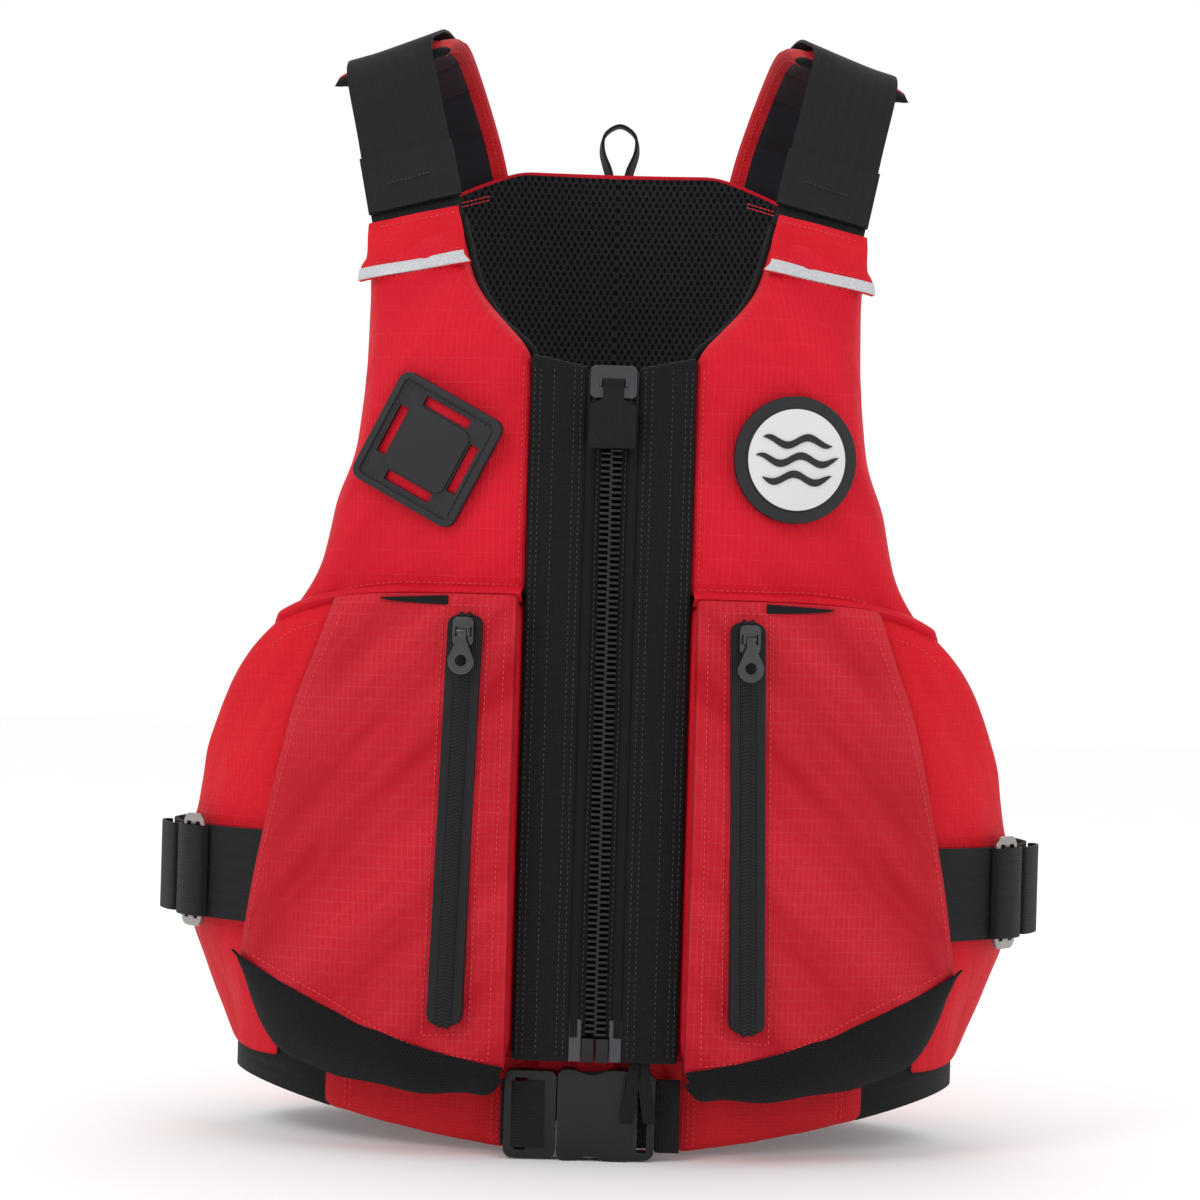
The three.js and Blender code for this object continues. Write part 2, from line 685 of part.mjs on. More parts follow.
// ---- The back and the pieces in the middle ----
function addBack(parent) {
  const backArmhole = (angle) => {
    const fromMiddle = Math.abs(180 - angle);
    const share = THREE.MathUtils.clamp((180 - backStartAngle - fromMiddle) / 38, 0, 1);
    return mix(armholeBottom + 4, seamHeight, Math.sin(share * Math.PI / 2) ** 1.2);
  };
  const [start, end] = [backStartAngle, 360 - backStartAngle];
  const angleAcross = (across) => mix(start, end, across);
  const lower = {
    outline: outlineOf(
      () => start,
      () => end,
      (across) => beltBottom(angleAcross(across)) + sleeveHeight + 3,
      (across) => backArmhole(angleAcross(across)),
    ),
    inner: panelInner,
    outer: backOuter,
    edge: 0.5,
    columns: 20,
    rows: 6,
  };
  meshOf("back_lower_panel", wrapPanel(lower), red, parent);

  const backHalfAngle = smoothThrough([[seamHeight, 45], [370, 39], [backTop, 37]]);
  const padSlope = 28; // the top edge falls away under the shoulder pads
  const backTopEdge = (across) => {
    const underPad = Math.max(0, (Math.abs(2 * across - 1) - 0.45) / 0.55);
    return backTop - padSlope * underPad ** 1.2;
  };
  const upper = {
    outline: outlineOf(
      (height) => 180 - backHalfAngle(height),
      (height) => 180 + backHalfAngle(height),
      () => seamHeight + gap,
      backTopEdge,
    ),
    inner: panelInner,
    outer: backOuter,
    edge: 0.5,
    columns: 12,
    rows: 8,
  };
  meshOf("back_upper_panel", wrapPanel(upper), red, parent);

  const liningOutline = outlineOf(
    (height) => 180 - backHalfAngle(height) + 1,
    (height) => 180 + backHalfAngle(height) - 1,
    () => hemHeight + 10,
    (across) => backTopEdge(across) - 2,
  );
  const lining = { outline: liningOutline, inner: 0, outer: liningThickness, columns: 12, rows: 2 };
  meshOf("back_lining", wrapPanel(lining), black, parent);

  const sleeveAngle = (across) => mix(120, 240, across);
  const sleeve = {
    outline: outlineOf(
      () => sleeveAngle(0),
      () => sleeveAngle(1),
      (across) => beltBottom(sleeveAngle(across)),
      (across) => beltBottom(sleeveAngle(across)) + sleeveHeight - 1,
    ),
    inner: 1,
    outer: 8,
    edge: 0.6,
    columns: 16,
    rows: 3,
  };
  meshOf("belt_sleeve_back", wrapPanel(sleeve), red, parent);
}

function addHangLoop(parent) {
  const [halfWidth, height, strip] = [11, 30, 5.5];
  const teardrop = (inset, shape) => {
    const reach = halfWidth - inset;
    const middle = height - halfWidth;
    shape.moveTo(0, inset * 1.6);
    shape.quadraticCurveTo(reach, middle * 0.55, reach, middle);
    shape.absarc(0, middle, reach, 0, Math.PI, false);
    shape.quadraticCurveTo(-reach, middle * 0.55, 0, inset * 1.6);
    return shape;
  };
  const outline = teardrop(0, new THREE.Shape());
  outline.holes.push(teardrop(strip, new THREE.Path()));
  const loop = meshOf("hang_loop", plate(outline, 12, 8), webbing, parent);
  loop.position.set(0, torsoHalfDepth + 16, backTop + gap);
}

function addMiddle(parent) {
  const lining = {
    outline: outlineOf(
      () => -angleAtWidth(44, 5),
      () => angleAtWidth(44, 5),
      () => 26,
      () => hemHeight - 1.5,
    ),
    inner: 1,
    outer: 5,
    columns: 6,
    rows: 2,
  };
  meshOf("waist_lining", wrapPanel(lining), red, parent);

  const tab = meshOf("webbing_tab", plate(roundedRectangle(17, 30, 5), 3), webbing, parent);
  tab.position.set(23.5, buckleBack - buckleThickness - layerGap, 35);

  const [start, end] = [barEnd + gap, sleeveStartWidth - gap];
  const web = block(end - start, webbingThickness, beltWidth, (start + end) / 2, buckleMiddle, buckleHeight / 2);
  meshOf("belt_front_web", web, webbing, parent);
}

// ---- The rubber pieces on the chest ----
const fittingHeight = 365;
const fittingWidth = 94;

function addLashTab(parent) {
  const [size, tilt, base, raised] = [62, radians(27.6), 3.2, 1.6];
  const corner = 6;
  const slots = [[0, 1], [0, -1], [1, 0], [-1, 0]];
  const openings = slots.map(([x, y]) =>
    block(x ? 5.2 : 27, 20, y ? 5.2 : 27, x * 21.6, 0, y * 21.6));
  const body = plate(roundedRectangle(size, size, corner), base);
  const centre = plate(roundedRectangle(36, 36, 5), base + raised);
  const rim = cut(
    plate(roundedRectangle(size, size, corner), base + raised),
    plate(roundedRectangle(size - 7, size - 7, corner - 3), 20).translate(0, 5, 0),
  );
  const tab = cut(joined(body, centre, rim), ...openings);
  const mesh = meshOf("lash_tab", tab.rotateY(-tilt), rubber, parent);
  const angle = angleAtWidth(fittingWidth, panelOuter);
  standOn(mesh, angle, panelOuter + layerGap, fittingHeight);
}

function addBadge(parent) {
  const radius = 33;
  const disc = new THREE.CylinderGeometry(radius, radius, 3, 32).translate(0, -1.5, 0);
  const face = new THREE.CylinderGeometry(radius - 6, radius - 6, 1, 32).translate(0, -3.5, 0);
  const mesh = meshOf("badge", joined(disc, face), rubber, parent);
  standOn(mesh, angleAtWidth(fittingWidth, panelOuter), panelOuter + layerGap, fittingHeight);
}

// ---- The whole jacket ----
const jacket = new THREE.Group();
const left = new THREE.Group();
const right = new THREE.Group();
right.scale.x = -1;
jacket.add(left, right);

for (const [side, name] of [[left, "left"], [right, "right"]]) {
  addFrontPanels(side, name);
  addZipHalf(side, name);
  addPocket(side, name);
  addShoulder(side, name);
  addSideStrap(side, name);
  addBelt(side, name);
}
addLashTab(right);
addBadge(left);
addMainZip(jacket);
addBuckle(jacket);
addBack(jacket);
addHangLoop(jacket);
addMiddle(jacket);

// The origin is on the ground, under the middle of the jacket's box.
const box = new THREE.Box3().setFromObject(jacket);
const middle = box.getCenter(new THREE.Vector3());
jacket.position.set(-middle.x, -middle.y, -box.min.z);

export default jacket;
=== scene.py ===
import math
import bpy
import numpy as np
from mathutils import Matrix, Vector, noise
from mathutils.bvhtree import BVHTree


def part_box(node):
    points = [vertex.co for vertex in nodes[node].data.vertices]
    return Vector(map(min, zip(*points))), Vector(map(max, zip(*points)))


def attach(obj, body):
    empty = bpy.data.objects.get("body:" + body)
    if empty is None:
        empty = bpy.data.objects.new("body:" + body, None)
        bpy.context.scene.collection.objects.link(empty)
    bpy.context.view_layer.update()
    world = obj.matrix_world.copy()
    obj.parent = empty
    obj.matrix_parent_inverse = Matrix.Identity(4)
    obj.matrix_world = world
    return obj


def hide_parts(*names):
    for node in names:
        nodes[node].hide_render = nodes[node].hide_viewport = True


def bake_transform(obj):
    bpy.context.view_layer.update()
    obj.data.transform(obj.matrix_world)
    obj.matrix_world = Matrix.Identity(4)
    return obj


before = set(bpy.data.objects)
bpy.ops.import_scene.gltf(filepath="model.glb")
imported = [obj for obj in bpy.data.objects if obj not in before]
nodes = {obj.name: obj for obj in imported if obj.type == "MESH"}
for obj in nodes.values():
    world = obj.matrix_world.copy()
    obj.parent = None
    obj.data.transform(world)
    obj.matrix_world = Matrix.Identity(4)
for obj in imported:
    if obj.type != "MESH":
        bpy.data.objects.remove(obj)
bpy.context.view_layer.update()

mm = 0.001

# ---- the space for the wearer: an ellipse in plan, which every panel follows ----
torso = {
    "halfWidth": 0.190,
    "halfDepth": 0.100,
    "centreY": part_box("back_lining")[1][1] - 0.102,
    "leanStart": 0.410,
    "leanTop": 0.492,
    "leanShare": 0.2,
}


def leanAt(height):
    share = np.clip((height - torso["leanStart"]) / (torso["leanTop"] - torso["leanStart"]), 0, None)
    return 1 - torso["leanShare"] * share * share


def onTorso(angle, out, height):
    # angle in degrees from the centre front towards the wearer's left, out in metres
    turn = np.radians(angle)
    a, b = torso["halfWidth"], torso["halfDepth"]
    nx, ny = np.sin(turn) / a, -np.cos(turn) / b
    size = np.hypot(nx, ny)
    x = a * np.sin(turn) + out * nx / size
    y = -b * np.cos(turn) + out * ny / size
    y = np.where(y < 0, y * leanAt(height), y)
    return np.stack([x, y + torso["centreY"], np.broadcast_to(height, np.shape(x))], axis=-1)


def torsoPoint(angle, out, height, sign=1):
    # one point; a sign of -1 puts it on the wearer's right
    x, y, z = onTorso(np.array(float(angle)), np.array(float(out)), np.array(float(height)))
    return Vector((x * sign, y, z))


def onSide(point, sign):
    return Vector((point[0] * sign, point[1], point[2]))


def clamped(value):
    return min(1.0, max(0.0, value))


def torsoCoordinates(points):
    # the angle, the distance out and the height of each point
    points = np.asarray(points, float)
    x = np.abs(points[:, 0])
    y = points[:, 1] - torso["centreY"]
    inFront = y < 0
    y = np.abs(np.where(inFront, y / leanAt(points[:, 2]), y))
    a, b = torso["halfWidth"], torso["halfDepth"]
    low, high = np.zeros(len(x)), np.full(len(x), math.pi / 2)
    for _ in range(26):
        turn = (low + high) / 2
        ahead = (x - a * np.sin(turn)) * a * np.cos(turn) - (y - b * np.cos(turn)) * b * np.sin(turn)
        low, high = np.where(ahead > 0, turn, low), np.where(ahead > 0, high, turn)
    nx, ny = np.sin(turn) / a, np.cos(turn) / b
    size = np.hypot(nx, ny)
    out = ((x - a * np.sin(turn)) * nx + (y - b * np.cos(turn)) * ny) / size
    angle = np.degrees(turn)
    angle = np.where(inFront, angle, 180 - angle) * np.sign(np.where(points[:, 0] == 0, 1, points[:, 0]))
    return angle, out, points[:, 2]


def angleAtWidth(width, out):
    width = np.asarray(width, float)
    low, high = np.zeros(width.shape), np.full(width.shape, 90.0)
    for _ in range(24):
        middle = (low + high) / 2
        inside = onTorso(middle, out, 0.1)[..., 0] < width
        low, high = np.where(inside, middle, low), np.where(inside, high, middle)
    return low


def curveThrough(points, count):
    # evenly spaced points on a smooth curve through the given ones
    points = [Vector(p) for p in points]
    if len(points) == 2:
        dense = [points[0].lerp(points[1], i / 60) for i in range(61)]
    else:
        dense = []
        for i in range(len(points) - 1):
            p0 = points[i - 1] if i else points[0] * 2 - points[1]
            p1, p2 = points[i], points[i + 1]
            p3 = points[i + 2] if i + 2 < len(points) else points[-1] * 2 - points[-2]
            for step in range(24):
                t = step / 24
                dense.append(0.5 * (2 * p1 + (p2 - p0) * t + (2 * p0 - 5 * p1 + 4 * p2 - p3) * t * t
                                    + (3 * p1 - p0 - 3 * p2 + p3) * t ** 3))
        dense.append(points[-1])
    lengths = [0.0]
    for here, there in zip(dense, dense[1:]):
        lengths.append(lengths[-1] + (there - here).length)
    result, index = [], 0
    for i in range(count):
        goal = lengths[-1] * i / (count - 1)
        while index < len(lengths) - 2 and lengths[index + 1] < goal:
            index += 1
        span = lengths[index + 1] - lengths[index] or 1
        result.append(dense[index].lerp(dense[index + 1], min(1, (goal - lengths[index]) / span)))
    return result


def routeLength(points):
    return sum((b - a).length for a, b in zip(points, points[1:]))


# ---- modelling helpers ----
def deselectAll():
    for item in bpy.context.selected_objects:
        item.select_set(False)


def choose(piece):
    deselectAll()
    piece.select_set(True)
    bpy.context.view_layer.objects.active = piece


def applyModifiers(piece):
    choose(piece)
    for modifier in list(piece.modifiers):
        bpy.ops.object.modifier_apply(modifier=modifier.name)


def faceOutwards(piece):
    choose(piece)
    bpy.ops.object.mode_set(mode="EDIT")
    bpy.ops.mesh.select_all(action="SELECT")
    bpy.ops.mesh.normals_make_consistent(inside=False)
    bpy.ops.object.mode_set(mode="OBJECT")


def smoothShade(piece, angle=None):
    choose(piece)
    if angle is None:
        bpy.ops.object.shade_smooth()
    else:
        bpy.ops.object.shade_smooth_by_angle(angle=math.radians(angle))


def copyNode(node, name):
    piece = bpy.data.objects.new(name, nodes[node].data.copy())
    bpy.context.scene.collection.objects.link(piece)
    piece.data.materials.clear()
    choose(piece)
    bpy.ops.object.mode_set(mode="EDIT")
    bpy.ops.mesh.select_all(action="SELECT")
    bpy.ops.mesh.remove_doubles(threshold=0.00002)
    bpy.ops.object.mode_set(mode="OBJECT")
    return piece


def coordinates(piece):
    values = np.empty(len(piece.data.vertices) * 3)
    piece.data.vertices.foreach_get("co", values)
    return values.reshape(-1, 3)


def setCoordinates(piece, points):
    piece.data.vertices.foreach_set("co", np.asarray(points, float).ravel())
    piece.data.update()


def finishPiece(piece, material, slot, body, *replaced):
    if material is not None:
        piece.data.materials.clear()
        piece.data.materials.append(material)
    if body is not None:
        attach(piece, body)
    if replaced:
        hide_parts(*replaced)
    return piece


def mirrored(piece, name):
    copy = bpy.data.objects.new(name, piece.data.copy())
    bpy.context.scene.collection.objects.link(copy)
    points = coordinates(copy)
    points[:, 0] *= -1
    setCoordinates(copy, points)
    choose(copy)
    bpy.ops.object.mode_set(mode="EDIT")
    bpy.ops.mesh.select_all(action="SELECT")
    bpy.ops.mesh.flip_normals()
    bpy.ops.object.mode_set(mode="OBJECT")
    return copy


def remesh(piece, size):
    modifier = piece.modifiers.new("Remesh", "REMESH")
    modifier.mode = "VOXEL"
    modifier.voxel_size = size
    applyModifiers(piece)


def relax(piece, times, factor=0.5):
    modifier = piece.modifiers.new("Smooth", "SMOOTH")
    modifier.iterations = times
    modifier.factor = factor
    applyModifiers(piece)


def subdivide(piece, levels=1):
    modifier = piece.modifiers.new("Subdivision", "SUBSURF")
    modifier.levels = levels
    modifier.render_levels = levels
    applyModifiers(piece)


def inflate(piece, pressure, cap, pinned):
    # cloth under pressure, with its rim and its back sewn down
    scene = bpy.context.scene
    before = coordinates(piece)
    group = piece.vertex_groups.new(name="Sewn")
    group.add([int(i) for i in np.nonzero(pinned)[0]], 1.0, "REPLACE")
    cloth = piece.modifiers.new("Cloth", "CLOTH")
    settings = cloth.settings
    settings.quality = 4
    settings.mass = 0.3
    settings.tension_stiffness = 12
    settings.compression_stiffness = 12
    settings.shear_stiffness = 4
    settings.bending_stiffness = 0.6
    settings.use_pressure = True
    settings.uniform_pressure_force = pressure
    settings.effector_weights.gravity = 0
    settings.vertex_group_mass = "Sewn"
    cloth.collision_settings.use_collision = False
    cloth.point_cache.frame_start = 1
    cloth.point_cache.frame_end = 16
    for step in range(1, 17):
        scene.frame_set(step)
    shaped = piece.evaluated_get(bpy.context.evaluated_depsgraph_get())
    after = np.empty(len(before) * 3)
    shaped.data.vertices.foreach_get("co", after)
    move = after.reshape(-1, 3) - before
    length = np.linalg.norm(move, axis=1, keepdims=True)
    move *= np.minimum(1, cap / np.maximum(length, 1e-9))
    piece.modifiers.remove(cloth)
    piece.vertex_groups.remove(group)
    scene.frame_set(1)
    setCoordinates(piece, before + move)


def foldCloth(piece, folds):
    # soft folds and small puckers, pushed in from the surface so that nothing stands prouder
    angle, out, height = torsoCoordinates(coordinates(piece))
    along = np.radians(angle) * 0.2
    moved = np.zeros(len(out))
    for index, (s, z) in enumerate(zip(along, height)):
        slanted = Vector((s * folds["across"] + z * folds["slant"], z * folds["up"], folds["seed"]))
        moved[index] = (noise.noise(slanted) - 0.5) * folds["depth"]
        moved[index] += noise.noise(Vector((s * 90, z * 90, folds["seed"] + 4))) * folds["pucker"]
    soft = np.clip((out - folds["from"]) / 0.01, 0, 1)
    setCoordinates(piece, onTorso(angle, out + moved * soft, height))


def gridPiece(name, columns, rows, place, size, thickness=0.0, offset=0.0):
    # a grid whose points are placed by across and up, from 0 to 1; size is its width and length
    deselectAll()
    bpy.ops.mesh.primitive_grid_add(x_subdivisions=columns, y_subdivisions=rows, size=1)
    piece = bpy.context.active_object
    piece.name = name
    points = coordinates(piece) + 0.5
    setCoordinates(piece, [place(p[0], p[1]) for p in points])
    layer = piece.data.uv_layers[0].data
    for corner in layer:
        corner.uv = (corner.uv[0] * size[0], corner.uv[1] * size[1])
    if thickness:
        modifier = piece.modifiers.new("Thickness", "SOLIDIFY")
        modifier.thickness = thickness
        modifier.offset = offset
        applyModifiers(piece)
        faceOutwards(piece)
    smoothShade(piece, 50)
    return piece


def bandAlong(name, path, sideways, width, thickness, rows=60, columns=6, shape=None):
    # a strap that follows a path, with its width along sideways
    points = curveThrough(path, rows + 1)
    length = routeLength(points)

    def place(across, up):
        index = min(rows, round(up * rows))
        tangent = (points[min(index + 1, rows)] - points[max(index - 1, 0)]).normalized()
        side = sideways(points[index]) if callable(sideways) else Vector(sideways)
        over = (side - tangent * side.dot(tangent)).normalized()
        normal = over.cross(tangent)
        lift = shape(across, up) if shape else 0
        return points[index] + over * (across - 0.5) * width + normal * lift

    return gridPiece(name, columns, rows, place, (width, length), thickness)


def frontSurface(*pieces):
    trees = [BVHTree.FromPolygons([v.co for v in p.data.vertices],
                                  [list(f.vertices) for f in p.data.polygons]) for p in pieces]

    def find(x, z):
        best = None
        for tree in trees:
            hit = tree.ray_cast(Vector((x, -0.5, z)), Vector((0, 1, 0)))
            if hit[0] is not None and (best is None or hit[0].y < best[0].y):
                best = hit
        return (best[0], best[1]) if best else (None, None)

    return find


def surfaceRoute(find, route, pitch):
    # points and normals on the front of a surface, from a route in millimetres across and up
    flat = [Vector((x * mm, z * mm, 0)) for x, z in route]
    rough = curveThrough(flat, 80) if len(flat) > 2 else [flat[0].lerp(flat[1], i / 79) for i in range(80)]
    count = max(3, int(routeLength(rough) / pitch) + 1)
    result = []
    for p in curveThrough(rough, count):
        point, normal = find(p.x, p.y)
        if point is not None:
            result.append((point, normal))
    return result


def stitchMesh(name, lines, thread):
    # short stitches sunk a little in the cloth; each line is a list of points and normals
    deselectAll()
    bpy.ops.mesh.primitive_uv_sphere_add(segments=6, ring_count=4, radius=0.5)
    model = bpy.context.active_object
    shape = coordinates(model)
    faces = [tuple(f.vertices) for f in model.data.polygons]
    bpy.data.objects.remove(model)
    points, polygons = [], []
    for line in lines:
        for (a, normal), (b, _) in zip(line, line[1:]):
            along = (b - a)
            if along.length < 1e-6 or along.length > 4 * thread["pitch"]:
                continue
            middle = (a + b) / 2 + normal * thread["radius"] * 0.4
            forward = along.normalized()
            side = forward.cross(normal).normalized()
            up = side.cross(forward)
            long = thread["pitch"] * thread["share"]
            start = len(points)
            for p in shape:
                aside = (side * p[0] + up * p[1]) * thread["radius"] * 2
                points.append(middle + forward * p[2] * long + aside)
            polygons += [tuple(start + i for i in face) for face in faces]
    mesh = bpy.data.meshes.new(name)
    mesh.from_pydata(points, [], polygons)
    piece = bpy.data.objects.new(name, mesh)
    bpy.context.scene.collection.objects.link(piece)
    faceOutwards(piece)
    smoothShade(piece)
    return piece


def sewOn(name, lines, colour, slot, body):
    finishPiece(stitchMesh(name, lines, threads[colour]), cloths[colour + "Thread"], slot, body)


def tubeAlong(name, points, radius):
    curve = bpy.data.curves.new(name, "CURVE")
    curve.dimensions = "3D"
    curve.bevel_depth = radius
    curve.bevel_resolution = 2
    curve.use_fill_caps = True
    spline = curve.splines.new("POLY")
    spline.points.add(len(points) - 1)
    for target, point in zip(spline.points, points):
        target.co = (*point, 1)
    piece = bpy.data.objects.new(name, curve)
    bpy.context.scene.collection.objects.link(piece)
    choose(piece)
    bpy.ops.object.convert(target="MESH")
    piece = bpy.context.active_object
    smoothShade(piece)
    return piece


def bevelledCopy(node, name, width, segments=3, hole=None):
    piece = copyNode(node, name)
    if hole:
        deselectAll()
        turn = hole["outward"].to_track_quat("Z", "Y").to_euler()
        bpy.ops.mesh.primitive_cylinder_add(vertices=32, radius=hole["radius"], depth=0.02,
                                            location=hole["centre"], rotation=turn)
        cutter = bpy.context.active_object
        cut = piece.modifiers.new("Hole", "BOOLEAN")
        cut.object = cutter
        cut.operation = "DIFFERENCE"
        applyModifiers(piece)
        bpy.data.objects.remove(cutter)
    choose(piece)
    bpy.ops.object.mode_set(mode="EDIT")
    bpy.ops.mesh.select_all(action="SELECT")
    bpy.ops.mesh.dissolve_limited(angle_limit=math.radians(2))
    bpy.ops.object.mode_set(mode="OBJECT")
    modifier = piece.modifiers.new("Bevel", "BEVEL")
    modifier.width = width
    modifier.segments = segments
    modifier.limit_method = "ANGLE"
    modifier.angle_limit = math.radians(35)
    applyModifiers(piece)
    smoothShade(piece, 40)
    return piece


# ---- materials ----
def linear(red, green, blue):
    def one(value):
        value /= 255
        return value / 12.92 if value <= 0.04045 else ((value + 0.055) / 1.055) ** 2.4
    return (one(red), one(green), one(blue), 1)


class Recipe:
    # a material and short ways to add nodes to it
    def __init__(self, name, roughness, metallic=0.0, specular=0.5):
        self.material = bpy.data.materials.new(name)
        self.material.use_nodes = True
        self.tree = self.material.node_tree
        self.shader = self.tree.nodes["Principled BSDF"]
        self.shader.inputs["Roughness"].default_value = roughness
        self.shader.inputs["Metallic"].default_value = metallic
        self.shader.inputs["Specular IOR Level"].default_value = specular

    def add(self, kind, **inputs):
        node = self.tree.nodes.new(kind)
        for name, value in inputs.items():
            self.put(node.inputs[name.replace("_", " ")], value)
        return node

    def put(self, socket, value):
        if isinstance(value, bpy.types.NodeSocket):
            self.tree.links.new(value, socket)
        else:
            socket.default_value = value

    def math(self, operation, *values):
        node = self.tree.nodes.new("ShaderNodeMath")
        node.operation = operation
        for socket, value in zip(node.inputs, values):
            self.put(socket, value)
        return node.outputs[0]

    def mixColour(self, factor, first, second):
        node = self.tree.nodes.new("ShaderNodeMix")
        node.data_type = "RGBA"
        self.put(node.inputs["Factor"], factor)
        self.put(node.inputs["A"], first)
        self.put(node.inputs["B"], second)
        return node.outputs["Result"]

    def place(self):
        return self.tree.nodes.new("ShaderNodeTexCoord").outputs["Object"]

    def split(self, vector):
        node = self.add("ShaderNodeSeparateXYZ", Vector=vector)
        return node.outputs

    def aroundBody(self):
        # the distance round the body and the height, for weaves that follow the cloth
        x, y, z = self.split(self.place())
        depth = self.math("MULTIPLY", self.math("SUBTRACT", torso["centreY"], y), 1.75)
        turn = self.math("ARCTAN2", x, depth)
        return self.math("MULTIPLY", turn, 0.232), z

    def noise(self, scale, detail=3.0, vector=None):
        node = self.add("ShaderNodeTexNoise", Vector=vector or self.place(), Scale=scale, Detail=detail)
        return node.outputs["Fac"]

    def stripe(self, value, pitch, width):
        # 1 on a thin line at every pitch, with soft sides
        wave = self.math("PINGPONG", value, pitch / 2)
        return self.math("SMOOTH_MIN", 1.0, self.math("MAXIMUM", 0.0, self.math(
            "SUBTRACT", 1.6, self.math("DIVIDE", wave, width / 2))), 0.2)

    def wave(self, value, pitch):
        return self.math("SINE", self.math("MULTIPLY", value, 2 * math.pi / pitch))

    def bump(self, height, distance, strength=1.0):
        node = self.add("ShaderNodeBump", Height=height, Distance=distance, Strength=strength)
        self.tree.links.new(node.outputs["Normal"], self.shader.inputs["Normal"])

    def colour(self, value):
        self.put(self.shader.inputs["Base Color"], value)

    def sheen(self, weight, roughness, tint):
        self.shader.inputs["Sheen Weight"].default_value = weight
        self.shader.inputs["Sheen Roughness"].default_value = roughness
        self.shader.inputs["Sheen Tint"].default_value = tint


def ripstopCloth(name, base, light, dark, cell, lines, seed, creaseBumpAndShade=0.0):
    # plain woven nylon with a grid of thicker threads, soft slanting crease bumps, and painted shade
    # darkening the colour in the creases
    cloth = Recipe(name, 0.66, specular=0.14)
    around, up = cloth.aroundBody()
    gridLine = cloth.math("MAXIMUM", cloth.stripe(around, cell[0], 0.0007),
                          cloth.stripe(up, cell[1], 0.0007))
    weave = cloth.math("MULTIPLY", cloth.wave(around, 0.0009), cloth.wave(up, 0.0009))
    broad = cloth.noise(9.0 + seed, 4.0)
    fine = cloth.noise(420.0, 2.0)
    tone = cloth.mixColour(cloth.math("MULTIPLY", broad, 0.9), base, dark)
    tone = cloth.mixColour(cloth.math("MULTIPLY", fine, 0.28), tone, light)
    tone = cloth.mixColour(cloth.math("MULTIPLY", gridLine, lines), tone, light)
    aside = cloth.math("ABSOLUTE", around)
    slanted = cloth.add("ShaderNodeCombineXYZ",
                        X=cloth.math("MULTIPLY", cloth.math("SUBTRACT", aside, up), 5.0),
                        Y=cloth.math("MULTIPLY", cloth.math("ADD", aside, up), 26.0), Z=seed * 3.7)
    crease = cloth.noise(1.0, 3.0, slanted.outputs[0])
    # painted shade: the colour is mixed towards dark in the valleys of the slanting creases
    paintedCreaseShade = cloth.math("POWER", cloth.math("SUBTRACT", 1.0, crease), 2.0)
    shade = cloth.math("MULTIPLY", paintedCreaseShade, 2.0 * creaseBumpAndShade)
    cloth.colour(cloth.mixColour(shade, tone, dark))
    height = cloth.math("ADD", cloth.math("MULTIPLY", weave, 0.2), cloth.math("MULTIPLY", gridLine, 0.7))
    height = cloth.math("ADD", height, cloth.math("MULTIPLY", broad, 1.2))
    cloth.bump(cloth.math("ADD", height, cloth.math("MULTIPLY", crease, 28.0 * creaseBumpAndShade)), 0.00035, 0.8)
    cloth.sheen(0.06, 0.3, (1, 0.25, 0.2, 1))
    return cloth.material


def spacerMesh(name, cell, hole, base, holeShade):
    # knitted mesh with staggered oval holes, painted near black inside as shade
    knit = Recipe(name, 0.8, specular=0.15)
    around, up = knit.aroundBody()
    row = knit.math("FLOOR", knit.math("DIVIDE", up, cell[1]))
    shift = knit.math("MULTIPLY", knit.math("MODULO", knit.math("ABSOLUTE", row), 2.0), 0.5)
    shifted = knit.math("ADD", knit.math("DIVIDE", around, cell[0]), shift)
    u = knit.math("SUBTRACT", knit.math("FRACT", shifted), 0.5)
    v = knit.math("SUBTRACT", knit.math("FRACT", knit.math("DIVIDE", up, cell[1])), 0.5)
    du = knit.math("DIVIDE", knit.math("MULTIPLY", u, cell[0]), hole[0] / 2)
    dv = knit.math("DIVIDE", knit.math("MULTIPLY", v, cell[1]), hole[1] / 2)
    far = knit.math("SQRT", knit.math("ADD", knit.math("MULTIPLY", du, du), knit.math("MULTIPLY", dv, dv)))
    inside = knit.math("MULTIPLY", knit.math("SUBTRACT", 1.25, far), 3.0)
    hollow = knit.math("MINIMUM", 1.0, knit.math("MAXIMUM", 0.0, inside))
    # painted shade: the holes take the near-black second colour, for the shade seen through them
    knit.colour(knit.mixColour(hollow, base, holeShade))
    yarn = knit.math("MULTIPLY", knit.wave(around, 0.0008), 0.15)
    knit.bump(knit.math("SUBTRACT", yarn, hollow), 0.0009, 1.0)
    knit.sheen(0.04, 0.4, (0.8, 0.8, 0.9, 1))
    return knit.material


def wovenStrap(name, base, light, rib, cross):
    # webbing: ribs along it and picks across it, on its own UV map in metres; the colour follows their
    # height, as painted highlight on the ridges and painted shade in the grooves
    strap = Recipe(name, 0.7, specular=0.2)
    uv = strap.split(strap.tree.nodes.new("ShaderNodeTexCoord").outputs["UV"])
    ribs = strap.wave(uv[0], rib)
    slant = strap.math("MULTIPLY", strap.math("PINGPONG", uv[0], rib * 2), 0.6)
    picks = strap.wave(strap.math("ADD", uv[1], slant), cross)
    height = strap.math("ADD", strap.math("MULTIPLY", ribs, 0.4), strap.math("MULTIPLY", picks, 0.5))
    # painted light: lighter where the weave is raised, darker in its grooves
    tone = strap.mixColour(strap.math("MULTIPLY", strap.math("ADD", height, 1.0), 0.3), base, light)
    strap.colour(strap.mixColour(strap.math("MULTIPLY", strap.noise(60.0), 0.3), tone, base))
    strap.bump(height, 0.0003, 0.9)
    strap.sheen(0.04, 0.3, (0.8, 0.8, 0.85, 1))
    return strap.material


